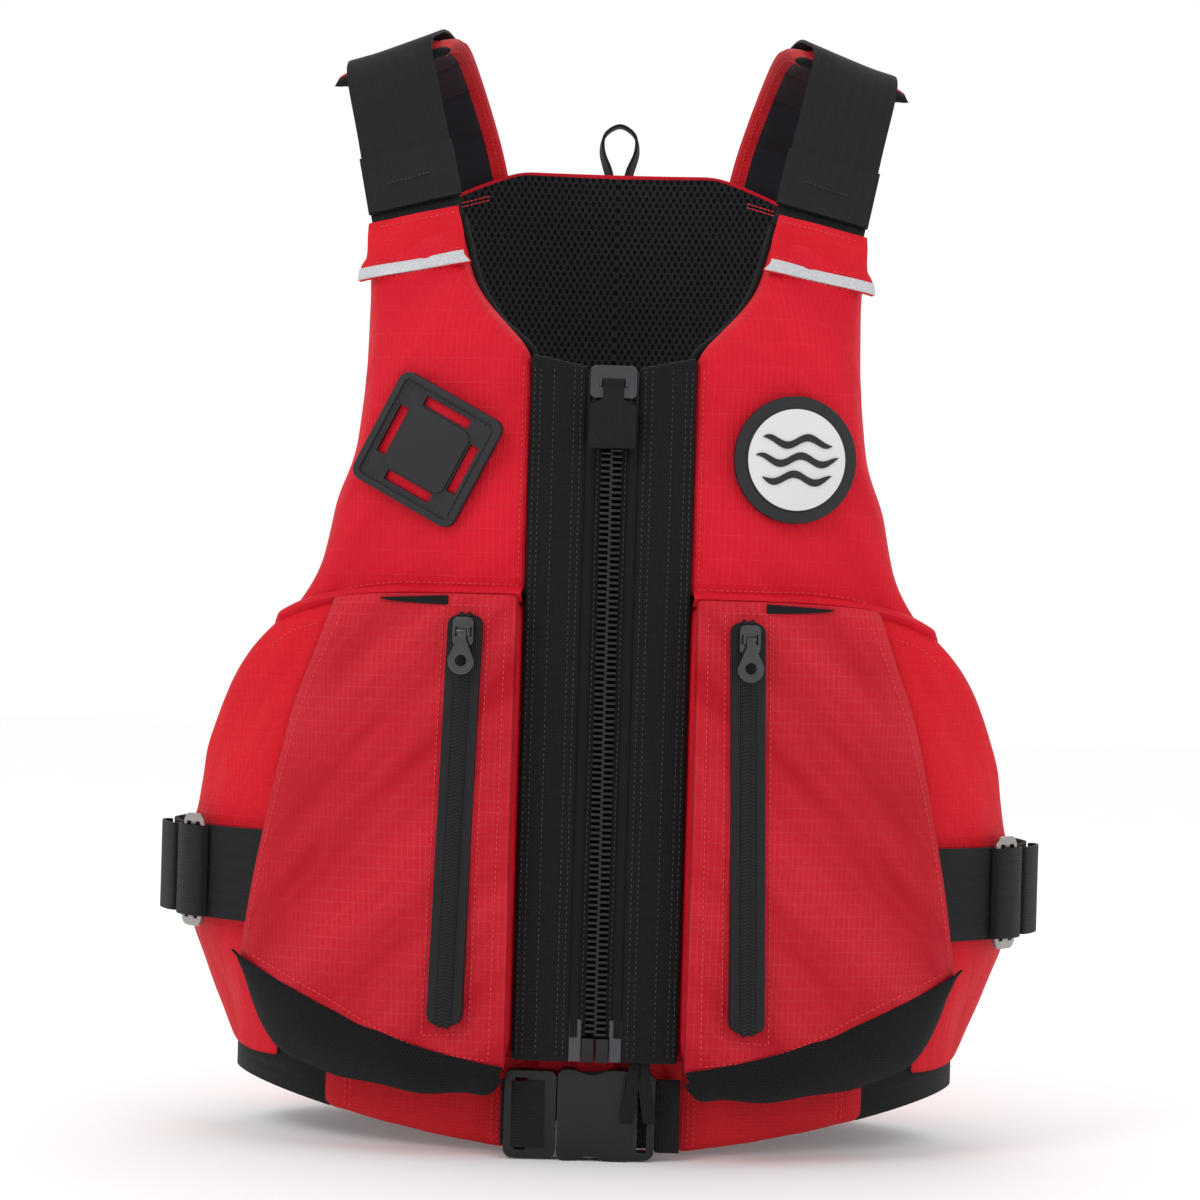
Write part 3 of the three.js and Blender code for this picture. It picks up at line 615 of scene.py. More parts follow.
def grosgrain(name, base, light, pitch):
    # ribbed black tape: fine ribs across, in object space, with painted highlight on the rib crests, painted
    # shade between them and random speckle
    tape = Recipe(name, 0.75, specular=0.15)
    x, _, z = tape.split(tape.place())
    ribs = tape.math("ADD", tape.wave(z, pitch), tape.math("MULTIPLY", tape.wave(x, pitch * 1.4), 0.5))
    # painted light on the ribs, mixed with random noise
    ribShadeAndSpeckle = tape.math("MULTIPLY", tape.math("ADD", ribs, tape.noise(300.0)), 0.3)
    tape.colour(tape.mixColour(ribShadeAndSpeckle, base, light))
    tape.bump(ribs, 0.00022, 0.9)
    tape.sheen(0.04, 0.3, (0.8, 0.8, 0.85, 1))
    return tape.material


def coilTape(name, base, light, width):
    # zip tape with a coil along its middle, on its own UV map in metres; the colour follows the height of
    # the coil and the weave, as painted highlight on their ridges and painted shade between them
    coil = Recipe(name, 0.6, specular=0.25)
    uv = coil.split(coil.tree.nodes.new("ShaderNodeTexCoord").outputs["UV"])
    fromMiddle = coil.math("ABSOLUTE", coil.math("SUBTRACT", uv[0], width / 2))
    inCoil = coil.math("LESS_THAN", fromMiddle, 0.0026)
    turns = coil.wave(coil.math("ADD", uv[1], coil.math("MULTIPLY", fromMiddle, 0.6)), 0.0018)
    weave = coil.math("MULTIPLY", coil.wave(uv[0], 0.0010), 0.3)
    height = coil.math("ADD", coil.math("MULTIPLY", inCoil, turns), weave)
    # painted light: lighter on the raised coil turns and weave, darker between them
    coil.colour(coil.mixColour(coil.math("MULTIPLY", coil.math("ADD", height, 1.0), 0.35), base, light))
    coil.bump(height, 0.0004, 1.0)
    return coil.material


def mouldedPlastic(name, base, light, roughness, grain):
    shell = Recipe(name, roughness, specular=0.35)
    speck = shell.noise(900.0, 2.0)
    wear = shell.noise(35.0, 3.0)
    shell.colour(shell.mixColour(shell.math("MULTIPLY", wear, 0.5), base, light))
    rough = shell.math("ADD", roughness - 0.08, shell.math("MULTIPLY", wear, 0.16))
    shell.put(shell.shader.inputs["Roughness"], rough)
    shell.bump(speck, grain, 0.5)
    return shell.material


def bareMetal(name, base, dark, roughness):
    metal = Recipe(name, roughness, 1.0)
    marks = metal.noise(70.0, 4.0)
    metal.colour(metal.mixColour(metal.math("MULTIPLY", marks, 0.6), base, dark))
    rough = metal.math("ADD", roughness - 0.06, metal.math("MULTIPLY", marks, 0.14))
    metal.put(metal.shader.inputs["Roughness"], rough)
    metal.bump(metal.noise(600.0, 1.0), 0.00003, 0.6)
    return metal.material


def sewingThread(name, base, light):
    thread = Recipe(name, 0.7, specular=0.15)
    thread.colour(thread.mixColour(thread.noise(800.0, 1.0), base, light))
    thread.bump(thread.noise(2500.0, 1.0), 0.00008, 0.6)
    return thread.material


def reflectiveTape(name):
    tape = Recipe(name, 0.32)
    cells = tape.tree.nodes.new("ShaderNodeTexVoronoi")
    cells.inputs["Scale"].default_value = 900.0
    tape.put(cells.inputs["Vector"], tape.place())
    tape.colour(tape.mixColour(cells.outputs["Distance"], linear(168, 170, 173), linear(196, 198, 201)))
    tape.bump(cells.outputs["Distance"], 0.00005, 0.5)
    return tape.material


# each ripstop cloth's third colour is its darker random tone and, for the chest, pocket and side cloths,
# also the painted shade in their creases; each mesh's last colour is the painted shade in its holes
cloths = {
    "chest": ripstopCloth("Chest nylon", linear(218, 10, 38), linear(232, 60, 70), linear(188, 6, 30),
                          (0.0033, 0.0125), 0.22, 0, 0.7),
    "pocket": ripstopCloth("Pocket ripstop", linear(210, 16, 40), linear(226, 86, 92), linear(168, 8, 28),
                           (0.0031, 0.0062), 0.24, 1, 1.0),
    "side": ripstopCloth("Side nylon", linear(220, 8, 34), linear(234, 58, 66), linear(190, 5, 26),
                         (0.0050, 0.0050), 0.16, 2, 0.7),
    "binding": ripstopCloth("Binding nylon", linear(196, 14, 30), linear(216, 56, 60), linear(166, 8, 22),
                            (0.0020, 0.0020), 0.2, 3),
    "spacer": spacerMesh("Back mesh", (0.0052, 0.0034), (0.0025, 0.0029),
                         linear(40, 40, 44), linear(1, 1, 1)),
    "fineMesh": spacerMesh("Fine mesh", (0.0020, 0.0016), (0.0010, 0.0008),
                           linear(20, 20, 22), linear(6, 6, 7)),
    "lining": spacerMesh("Lining mesh", (0.0030, 0.0024), (0.0015, 0.0012),
                         linear(22, 22, 25), linear(6, 6, 7)),
    "quilt": ripstopCloth("Quilted nylon", linear(27, 27, 34), linear(44, 44, 52), linear(18, 18, 23),
                          (0.0012, 0.0012), 0.3, 4),
    "facing": grosgrain("Zip facing", linear(20, 19, 20), linear(40, 39, 40), 0.0011),
    "tape": grosgrain("Zip tape", linear(24, 24, 26), linear(42, 43, 46), 0.0006),
    "coil": coilTape("Coil zip", linear(16, 16, 18), linear(38, 38, 42), 0.0175),
    "webbing": wovenStrap("Webbing", linear(15, 15, 16), linear(38, 38, 41), 0.0016, 0.0011),
    "plastic": mouldedPlastic("Buckle plastic", linear(14, 13, 15), linear(26, 25, 27), 0.40, 0.00003),
    "rubber": mouldedPlastic("Black rubber", linear(24, 23, 26), linear(38, 37, 41), 0.55, 0.00005),
    "pale": mouldedPlastic("Pale rubber", linear(206, 206, 208), linear(222, 222, 224), 0.55, 0.00003),
    "steel": bareMetal("Bare steel", (0.36, 0.33, 0.31, 1), (0.20, 0.185, 0.17, 1), 0.3),
    "darkMetal": bareMetal("Dark metal", (0.085, 0.085, 0.092, 1), (0.035, 0.035, 0.04, 1), 0.26),
    "teeth": mouldedPlastic("Zip teeth", linear(16, 16, 18), linear(28, 28, 31), 0.36, 0.00002),
    "redThread": sewingThread("Red thread", linear(200, 44, 54), linear(220, 72, 78)),
    "greyThread": sewingThread("Grey thread", linear(50, 49, 51), linear(70, 69, 72)),
    "greyFilm": mouldedPlastic("Grey film", linear(58, 58, 62), linear(76, 76, 82), 0.3, 0.00002),
    "reflective": reflectiveTape("Reflective tape"),
}
print("materials ready")

threads = {
    "red": {"pitch": 0.0030, "share": 0.78, "radius": 0.00042},
    "grey": {"pitch": 0.0030, "share": 0.62, "radius": 0.00036},
    "black": {"pitch": 0.0034, "share": 0.75, "radius": 0.00045},
}

sides = [("left", 1), ("right", -1)]

# ---- outlines shared by the panels, in metres ----
def smoothThrough(points):
    xs, ys = np.array(points, float).T * mm
    last = len(xs) - 1
    after = np.minimum(np.arange(last + 1) + 1, last)
    before = np.maximum(np.arange(last + 1) - 1, 0)
    slopes = (ys[after] - ys[before]) / (xs[after] - xs[before])

    def at(value):
        value = np.clip(value, xs[0], xs[-1])
        i = np.clip(np.searchsorted(xs, value, side="right") - 1, 0, last - 1)
        span = xs[i + 1] - xs[i]
        t = (value - xs[i]) / span
        return ((1 + 2 * t) * (1 - t) ** 2 * ys[i] + t * (1 - t) ** 2 * span * slopes[i]
                + t * t * (3 - 2 * t) * ys[i + 1] + t * t * (t - 1) * span * slopes[i + 1])

    return at


jacket = {"seam": 0.292, "seamDip": 0.024, "chestTop": 0.492, "chestFall": 0.009, "sideEnd": 91.0,
          "panelInner": 0.003, "panelOuter": 0.036, "sideOuter": 0.040, "backOuter": 0.033, "hem": 0.052}
armholeWidth = smoothThrough([(165, 229), (211, 220), (252, 200), (292, 167), (334, 147), (370, 133),
                              (492, 129)])
necklineWidth = smoothThrough([(418, 43.6), (450, 72), (475, 80), (492, 85)])
pocketEdgeWidth = smoothThrough([(97, 191), (225, 165), (265, 150), (292, 141)])


def armholeAngle(height):
    free = angleAtWidth(armholeWidth(height), jacket["sideOuter"])
    return np.where(np.asarray(height) <= 0.165, jacket["sideEnd"], np.minimum(jacket["sideEnd"], free))


def necklineAngle(height):
    return angleAtWidth(necklineWidth(height), jacket["panelOuter"])


def pocketEdgeAngle(height):
    return angleAtWidth(pocketEdgeWidth(height), 0.044)


def seamLine(angle):
    start, end = necklineAngle(jacket["seam"]), armholeAngle(jacket["seam"] - jacket["seamDip"])
    return jacket["seam"] - jacket["seamDip"] * np.clip((angle - start) / (end - start), 0, 1) ** 4


def seamAcross(left, right, across):
    height = np.full(np.shape(across), jacket["seam"])
    for _ in range(8):
        height = height + 0.7 * (seamLine(left(height) + across * (right(height) - left(height))) - height)
    return height


def rimmed(t, low, high):
    # 1 in the middle of a cushion, falling to low and high at its two edges
    level = np.where(t < 0.5, low, high)
    return level + (1 - level) * np.sqrt(1 - np.abs(2 * t - 1) ** 6)


def warpedCube(name, cuts, place):
    # a finely cut cube whose points are placed by across, up and through, from 0 to 1
    deselectAll()
    bpy.ops.mesh.primitive_cube_add(size=1)
    piece = bpy.context.active_object
    piece.name = name
    bpy.ops.object.mode_set(mode="EDIT")
    bpy.ops.mesh.select_all(action="SELECT")
    bpy.ops.mesh.subdivide(number_cuts=cuts)
    bpy.ops.object.mode_set(mode="OBJECT")
    shares = coordinates(piece) + 0.5
    setCoordinates(piece, place(shares[:, 0], shares[:, 2], shares[:, 1]))
    faceOutwards(piece)
    return piece, shares


# ---- front panels ----
def chestPlace(across, up, through):
    low = seamAcross(necklineAngle, armholeAngle, across) + 0.0006
    height = low + up * (jacket["chestTop"] - jacket["chestFall"] * across - low)
    besideZip = np.clip((0.430 - height) / 0.02, 0, 1)
    full = rimmed(across, 0.5 + 0.38 * besideZip, 0.62) * rimmed(up, 0.96, 0.6)
    out = jacket["panelInner"] + through * 0.0325 * full
    # the walls at the neckline and at the armhole run straight back
    edge = angleAtWidth(necklineWidth(height) - 0.0005, out)
    start = necklineAngle(height) + (edge - necklineAngle(height)) * np.clip((height - 0.400) / 0.02, 0, 1)
    outer = np.minimum(jacket["sideEnd"], angleAtWidth(armholeWidth(height), out))
    end = armholeAngle(height) + (outer - armholeAngle(height)) * np.clip((height - 0.300) / 0.04, 0, 1)
    return onTorso(start + across * (end - start), out, height)


def sidePlace(across, up, through):
    def front(height):
        return pocketEdgeAngle(height) + 0.5

    low = 0.070
    high = seamAcross(front, armholeAngle, across) - 0.0015
    height = low + up * (high - low)
    angle = front(height) + across * (armholeAngle(height) - front(height))
    full = rimmed(across, 0.93, 0.55) * rimmed(up, 0.75, 0.9)
    out = jacket["panelInner"] + through * 0.0365 * full
    height = height - through * (0.029 - 0.020 * across ** 3) * (1 - up) ** 3.5
    taper = np.interp(height, (0.040, 0.050, 0.062, 0.075, 0.090, 0.105, 0.135),
                      (0.0085, 0.010, 0.015, 0.021, 0.028, 0.034, 0.041))
    thinned = jacket["panelInner"] + through * (taper - jacket["panelInner"])
    out = np.where(through > 0, np.minimum(out, thinned), out)
    return onTorso(angle, np.maximum(out, 0.0075 - 0.0045 * np.clip((height - 0.070) / 0.01, 0, 1)), height)


def pocketPlace(across, up, through):
    def inner(height):
        return angleAtWidth(np.full(np.shape(height), 0.0475), 0.052)

    low = jacket["hem"] - 0.006 + 0.051 * across ** 1.3
    high = seamAcross(inner, pocketEdgeAngle, across) - 0.0008
    height = low + up * (high - low)
    angle = inner(height) + across * (pocketEdgeAngle(height) - inner(height))
    full = rimmed(across, 0.78, 0.45) * rimmed(up, 0.62, 0.8)
    return onTorso(angle, 0.037 + through * 0.0138 * full, height)


softPanels = {
    "chest_panel": {"cloth": "chest", "place": chestPlace, "cuts": 25, "pressure": 5.0, "cap": 0.004,
                    "limit": 0.0364,
                    "folds": {"across": 22, "slant": 10, "up": 17, "depth": 0.0036, "from": 0.008,
                              "pucker": 0.0007, "seed": 3.1}},
    "side_panel": {"cloth": "side", "place": sidePlace, "cuts": 25, "pressure": 5.0, "cap": 0.004,
                   "limit": 0.0402,
                   "folds": {"across": 26, "slant": 16, "up": 20, "depth": 0.0040, "from": 0.010,
                             "pucker": 0.0009, "seed": 7.7}},
    "pocket": {"cloth": "pocket", "place": pocketPlace, "cuts": 31, "pressure": 3.0, "cap": 0.002,
               "limit": 0.0508,
               "folds": {"across": 17, "slant": -15, "up": 9, "depth": 0.0046, "from": 0.040,
                         "pucker": 0.0009, "seed": 1.3}},
}


def sewPanel(node, plan):
    piece, shares = warpedCube(node + "_cloth", plan["cuts"], plan["place"])
    rim = np.minimum(np.minimum(shares[:, 0], 1 - shares[:, 0]), np.minimum(shares[:, 2], 1 - shares[:, 2]))
    inflate(piece, plan["pressure"], plan["cap"], (shares[:, 1] < 0.5) | (rim < 0.02))
    foldCloth(piece, plan["folds"])
    subdivide(piece)
    angle, out, height = torsoCoordinates(coordinates(piece))
    setCoordinates(piece, onTorso(angle, np.minimum(out, plan["limit"]), height))
    smoothShade(piece)
    return piece


softPieces = {}
for node, plan in softPanels.items():
    leftPiece = sewPanel(node + "_left", plan)
    rightPiece = mirrored(leftPiece, node + "_right_cloth")
    for (side, _), piece in zip(sides, (leftPiece, rightPiece)):
        finishPiece(piece, cloths[plan["cloth"]], "red_fabric", "front_" + side, f"{node}_{side}")
        softPieces[node, side] = piece
    print("sewn", node)


def softCopy(node, name, size, material, slot, body, relaxed=4):
    piece = copyNode(node, name)
    remesh(piece, size)
    relax(piece, relaxed)
    smoothShade(piece)
    finishPiece(piece, cloths[material], slot, body, node)
    return piece


def torsoSheet(name, columns, rows, outline, thickness, size, sign=1):
    # a sheet on the torso; outline gives its angle, its distance out and its height
    def place(across, up):
        angle, out, height = outline(across, up)
        return torsoPoint(angle, out, height, sign)

    return gridPiece(name, columns, rows, place, size, thickness)


def liningOutline(across, up):
    low, high = jacket["hem"] + 0.024 * across, jacket["chestTop"] - 0.002 - jacket["chestFall"] * across
    height = low + up * (high - low)
    share = clamped((height - 0.402) / 0.016)
    width = 0.0134 + share * (float(necklineWidth(height)) - 0.0010 - 0.0134)
    start, end = float(angleAtWidth(width, 0.0)), float(armholeAngle(height)) - 1.5
    return start + across * (end - start), 0.0011, height


def gussetOutline(across, up):
    # from the hem edge, under a bulge, up to the lower edge of the pocket
    along = clamped(across)
    top = jacket["hem"] - 0.0025 + 0.051 * along ** 1.3
    low = float(gussetHem(along)) + 0.0007 * math.sin(along * 19)
    start = float(angleAtWidth(0.0485, 0.048))
    end = float(pocketEdgeAngle(0.097))
    height = low + up * (top - low)
    bulge = 0.0055 * math.sin(math.pi * up) ** 0.7 + 0.0006 * math.sin(along * 17 + up * 3)
    corner = 0.004 * max(0.0, 1 - along / 0.1) * math.sin(math.pi * up)
    out = 0.0345 + 0.0105 * up ** 0.8 + bulge * math.sin(math.pi * min(1, along * 1.02)) ** 0.3 + corner
    return start + along * (end - start) + 0.35 * math.sin(up * 5 + along * 9), out, height


gussetHem = smoothThrough([(0, 42), (40, 34), (120, 34.5), (300, 34), (500, 38), (680, 43), (820, 51),
                           (930, 70), (1000, 91)])


for side, sign in sides:
    body = "front_" + side
    waist = softCopy(f"waist_panel_{side}", f"waist_foam_{side}", 0.006, "side", "red_fabric", body, 4)
    softPieces["waist", side] = waist
    mesh = torsoSheet(f"front_mesh_{side}", 30, 60, liningOutline, 0.0018, (0.2, 0.43), sign)
    finishPiece(mesh, cloths["lining"], "black_fabric", body, f"front_lining_{side}")
    gusset = torsoSheet(f"gusset_mesh_{side}", 60, 12, gussetOutline, 0.0012, (0.16, 0.04), sign)
    finishPiece(gusset, cloths["fineMesh"], "black_fabric", body, f"pocket_gusset_{side}")

    # the welt of the seam under the chest, and a thin dark sheet as painted shade in the opening of the
    # pocket behind it
    def weltOutline(across, up):
        start, end = float(necklineAngle(0.29)) + 0.3, float(armholeAngle(0.268)) - 0.6
        angle = start + across * (end - start)
        middle = float(seamLine(angle))
        out = 0.0362 - 0.006 * abs(2 * up - 1) ** 2 - 0.012 * max(0.0, across - 0.9) / 0.1
        return angle, out, middle - 0.0035 + up * 0.007

    welt = torsoSheet(f"seam_welt_{side}", 50, 6, weltOutline, 0.0016, (0.17, 0.007), sign)
    finishPiece(welt, cloths["chest"], "red_fabric", body)

    def slitShadeOutline(across, up):
        start, end = float(angleAtWidth(0.081, 0.046)), float(angleAtWidth(0.116, 0.046))
        tall = 0.0046 * (1 - across) ** 0.6 + 0.0003
        return start + across * (end - start), 0.0492, 0.2903 - 0.0020 * across - (1 - up) * tall

    # painted shade: a thin black sheet stands for the shadow inside the pocket opening
    slitShade = torsoSheet(f"pocket_slit_{side}", 24, 3, slitShadeOutline, 0.0006, (0.04, 0.004), sign)
    finishPiece(slitShade, cloths["tape"], "black_fabric", body)
print("linings ready")

# ---- the back ----
backHalf = smoothThrough([(292, 45), (370, 39), (536, 37)])


def backHalfAngle(height):
    return backHalf(height) / mm


def backTopEdge(across):
    underPad = np.maximum(0, (np.abs(2 * across - 1) - 0.45) / 0.55)
    return 0.536 - 0.028 * underPad ** 1.2


def upperPlace(across, up, through):
    low = 0.2924
    height = low + up * (backTopEdge(across) - low)
    half = backHalfAngle(height)
    full = rimmed(across, 0.5, 0.5) * rimmed(up, 0.95, 0.5)
    return onTorso(180 - half + across * 2 * half, jacket["panelInner"] + through * 0.0295 * full, height)


def lowerPlace(across, up, through):
    angle = 97 + across * 166
    fromMiddle = np.abs(180 - angle)
    share = np.clip((83 - fromMiddle) / 38, 0, 1)
    high = 0.169 + (jacket["seam"] - 0.169) * np.sin(share * math.pi / 2) ** 1.2
    low = 0.031 * np.abs(np.sin(np.radians(angle))) ** 1.6 + 0.048
    full = rimmed(across, 0.5, 0.5) * rimmed(up, 0.5, np.clip(0.5 + share * 0.45, 0, 0.95))
    return onTorso(angle, jacket["panelInner"] + through * 0.0295 * full, low + up * (high - 0.0006 - low))


backPlan = {
    "back_upper_panel": {"cloth": "chest", "place": upperPlace, "cuts": 28, "pressure": 4.0, "cap": 0.004,
                         "limit": 0.0335, "folds": {"across": 14, "slant": 5, "up": 16, "depth": 0.0032,
                                                    "pucker": 0.0007, "from": 0.010, "seed": 5.5}},
    "back_lower_panel": {"cloth": "side", "place": lowerPlace, "cuts": 36, "pressure": 4.0, "cap": 0.004,
                         "limit": 0.0335, "folds": {"across": 14, "slant": 5, "up": 16, "depth": 0.0032,
                                                    "pucker": 0.0007, "from": 0.010, "seed": 9.2}},
}
for node, plan in backPlan.items():
    piece = sewPanel(node, plan)
    finishPiece(piece, cloths[plan["cloth"]], "red_fabric", "back", node)
    softPieces[node] = piece


def backLiningOutline(across, up):
    high = float(backTopEdge(np.array(across))) - 0.0012 - 0.0014 * (1 - abs(2 * across - 1))
    height = 0.060 + up * (high - 0.060)
    half = float(backHalfAngle(height)) - 0.6
    return 180 - half + across * 2 * half, 0.0012 + 0.0012 * max(0.0, up - 0.96) / 0.04, height


backMesh = torsoSheet("back_mesh", 60, 90, backLiningOutline, 0.0018, (0.28, 0.47))
finishPiece(backMesh, cloths["spacer"], "black_fabric", "back", "back_lining")


def beltRise(angle):
    return 0.031 * np.abs(np.sin(np.radians(angle))) ** 1.6


def sleevePlace(start, end, thick, tall, taper, seed):
    def place(across, up, through):
        angle = start + across * (end - start)
        rumple = 0.0011 * np.sin(across * 31 + 4 * up + seed) * np.sin(across * 12 + seed)
        out = 0.001 + through * (thick * rimmed(across, 0.8, 0.8) * rimmed(up, 0.55, 0.55) + rumple)
        return onTorso(angle, out, beltRise(angle) + up * (tall - taper * across))
    return place


def makeSleeve(name, cuts, place):
    piece, _ = warpedCube(name, cuts, place)
    subdivide(piece)
    smoothShade(piece)
    return piece


backSleeve = makeSleeve("back_sleeve", 31, sleevePlace(120, 240, 0.0068, 0.044, 0, 1.7))
finishPiece(backSleeve, cloths["binding"], "red_fabric", "back", "belt_sleeve_back")


def ruffleOutline(across, up):
    angle = (across - 0.5) * 2 * float(angleAtWidth(0.0455, 0.010))
    wave = math.sin(across * 34 + 1.2 * math.sin(across * 13)) + 0.5 * math.sin(across * 61 + 2)
    height = 0.024 + up * 0.0275 + 0.0014 * wave * (1 - up)
    return angle, 0.0085 + 0.0028 * wave * (0.5 + 0.5 * (1 - up)) + 0.004 * up, height


ruffle = torsoSheet("waist_ruffle", 90, 12, ruffleOutline, 0.0012, (0.09, 0.028))
finishPiece(ruffle, cloths["binding"], "red_fabric", "back", "waist_lining")
print("back ready")

# ---- shoulders: pads, straps and flaps ----
shoulder = {
    "pad": [(0.0955, 0.117, 0.519), (0.1020, 0.110, 0.545), (0.1120, 0.078, 0.574), (0.1180, 0.036, 0.5855),
            (0.1230, -0.002, 0.5820), (0.1255, -0.020, 0.5765)],
    "padSlope": (0.936, 0, -0.352),
    "slope": (0.957, 0, -0.29),
    "padWidth": 0.068,
    "padThickness": 0.011,
    "quiltLines": 5,
    "bindingShare": 0.13,
    "endTape": 0.0036,
    "strapWidth": 0.048,
    "webbing": 0.0017,
}


def framePoint(x, y, z):
    return Vector((x, y + torso["centreY"], z))


def makePad(side, sign):
    plan = shoulder
    path = curveThrough([framePoint(*p) for p in plan["pad"]], 81)
    over = Vector(plan["padSlope"])
    length = routeLength(path)

    def place(face):
        def at(across, up):
            index = min(80, round(up * 80))
            tangent = (path[min(index + 1, 80)] - path[max(index - 1, 0)]).normalized()
            sideways = (over - tangent * over.dot(tangent)).normalized()
            normal = sideways.cross(tangent)
            rim = max(0.0, 1 - abs(2 * across - 1) ** 7) ** 0.5 * max(0.0, 1 - abs(2 * up - 1) ** 18) ** 0.5
            fromEdge = min(across, 1 - across)
            quilt = 0.62 + 0.38 * abs(math.sin(math.pi * up * plan["quiltLines"])) ** 0.5
            seam = 0.75 + 0.25 * min(1.0, abs(fromEdge - plan["bindingShare"]) / 0.03)
            swell = quilt if fromEdge > plan["bindingShare"] else 0.8
            thick = plan["padThickness"] / 2 * rim * seam * swell
            aside = sideways * (across - 0.5) * plan["padWidth"]
            return path[index] + aside - normal * thick * face
        return at

    outer = gridPiece(f"pad_cover_{side}", 30, 80, place(1), (plan["padWidth"], length))
    inner = gridPiece(f"pad_inside_{side}", 30, 80, place(-1), (plan["padWidth"], length))
    margin = plan["bindingShare"] * plan["padWidth"]
    for piece, middle in ((outer, "binding"), (inner, "quilt")):
        for name in ("binding", "tape", middle):
            piece.data.materials.append(cloths[name])
        layer = piece.data.uv_layers[0].data
        for face in piece.data.polygons:
            u = sum(layer[i].uv[0] for i in face.loop_indices) / len(face.loop_indices)
            v = sum(layer[i].uv[1] for i in face.loop_indices) / len(face.loop_indices)
            inMiddle = margin < u < plan["padWidth"] - margin
            face.material_index = 1 if v > length - plan["endTape"] else 2 if inMiddle else 0
    deselectAll()
    outer.select_set(True)
    inner.select_set(True)
    bpy.context.view_layer.objects.active = outer
    bpy.ops.object.join()
    points = coordinates(outer)
    points[:, 0] *= sign
    setCoordinates(outer, points)
    bpy.ops.object.mode_set(mode="EDIT")
    bpy.ops.mesh.select_all(action="SELECT")
    bpy.ops.mesh.remove_doubles(threshold=0.0002)
    bpy.ops.mesh.normals_make_consistent(inside=False)
    bpy.ops.object.mode_set(mode="OBJECT")
    smoothShade(outer)
    finishPiece(outer, None, "black_fabric", "back", f"shoulder_pad_{side}")

    # stitches along the middle of the binding on the inside
    at = place(-1)
    lines = []
    for across in (0.065, 0.935):
        line = []
        for step in range(int(length / threads["red"]["pitch"])):
            up = step * threads["red"]["pitch"] / length
            point = onSide(at(across, up), sign)
            line.append((point, Vector((0, -0.6, -0.8)) if up > 0.35 else Vector((0, -1, 0))))
        lines.append(line)
    sewOn(f"pad_stitches_{side}", lines, "red", "red_fabric", "back")


def makeShoulderStrap(side, sign):
    plan = shoulder
    low = torsoPoint(angleAtWidth(0.107, 0.02), 0.022, 0.497)
    high = framePoint(0.1265, -0.027, 0.579)
    down = (low - high).normalized()
    slope = Vector((plan["slope"][0], 0, plan["slope"][2] * sign))

    def turned(points):
        return [onSide(p, sign) for p in points]

    def onBack(width, height, out=0.0352):
        return torsoPoint(180 - angleAtWidth(width, out), out, height)

    route = [low + down * 0.016, low, low.lerp(high, 0.5), high, framePoint(0.1235, -0.006, 0.5900),
             framePoint(0.118, 0.026, 0.5938), framePoint(0.1105, 0.070, 0.586),
             framePoint(0.104, 0.108, 0.566), onBack(0.1005, 0.543, 0.0362), onBack(0.0985, 0.505),
             onBack(0.0965, 0.455)]
    flat = Vector((0.963, -0.269 * sign, 0))

    def alongStrap(point):
        # the strap lies on the slope of the shoulder, then flat on the back
        share = clamped((point.y - torso["centreY"] - 0.05) / 0.065)
        tilt = 0.29 + 0.10 * clamped((point.z - 0.53) / 0.05)
        return Vector((1, 0, -tilt * sign)).lerp(flat, share)

    strap = bandAlong(f"shoulder_webbing_{side}", turned(route), alongStrap, plan["strapWidth"],
                      plan["webbing"], 110, 8)
    finishPiece(strap, cloths["webbing"], "webbing", None, f"shoulder_strap_{side}")
    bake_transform(strap)

    # a sewn box with one diagonal where the strap ends on the back
    corners = [(-0.019, 0.463), (0.019, 0.463), (0.019, 0.492), (-0.019, 0.492), (-0.019, 0.463),
               (0.019, 0.492)]
    sewn = []
    for (x0, z0), (x1, z1) in zip(corners, corners[1:]):
        count = int(math.hypot(x1 - x0, z1 - z0) / threads["grey"]["pitch"])
        line = [onBack(0.0975 + (x0 + (x1 - x0) * i / count) * 0.963, z0 + (z1 - z0) * i / count, 0.0366)
                for i in range(count + 1)]
        sewn.append([(onSide(p, sign), Vector((0.27 * sign, 0.963, 0))) for p in line])
    sewOn(f"strap_box_{side}", sewn, "grey", "webbing", "back")

    # the free end, doubled back over the strap and sewn across
    lift = Vector((0, -0.0027, 0.0008))
    bottom = low + down * 0.003
    tailRoute = [bottom + lift * 1.3, bottom - down * 0.019 + lift * 1.15, bottom - down * 0.0385 + lift]
    tail = bandAlong(f"shoulder_tail_{side}", turned(tailRoute), slope, plan["strapWidth"] + 0.0022,
                     plan["webbing"], 30, 8)
    finishPiece(tail, cloths["webbing"], "webbing", "front_" + side)
    line = []
    across = Vector((slope.x, 0, slope.z)).normalized()
    middle = turned([bottom - down * 0.0185 + lift * 1.15])[0] + Vector((0, -0.0013, 0))
    for step in range(11):
        line.append((middle + across * (step - 5.5) * 0.0022 * 1.1, Vector((0, -1, 0))))
    sewOn(f"tail_stitches_{side}", [line], "grey", "webbing", "front_" + side)


flapSides = smoothThrough([(452, 75.0), (463, 75.8), (468, 79.5), (480, 80.8), (494, 84.5)])
flapOuter = smoothThrough([(452, 134.5), (461, 133.5), (466, 131.0), (480, 131.0), (494, 130.5)])


def flapOutline(across, up):
    low, high = 0.4635 - 0.0105 * across, 0.4945 - 0.010 * across
    height = low + up * (high - low)
    width = float(flapSides(height)) + across * (float(flapOuter(height)) - float(flapSides(height)))
    lip = 0.0022 * (1 - min(1.0, up / 0.22)) ** 0.5
    rounded = 1 - 0.25 * abs(2 * across - 1) ** 14
    fall = 0.0085 * max(0.0, up - 0.72) / 0.28
    out = 0.0215 + 0.0085 * rounded + lip - fall * 0.25 + 0.0012 * math.sin(across * 9 + up * 4)
    return float(angleAtWidth(width, out)), out, height


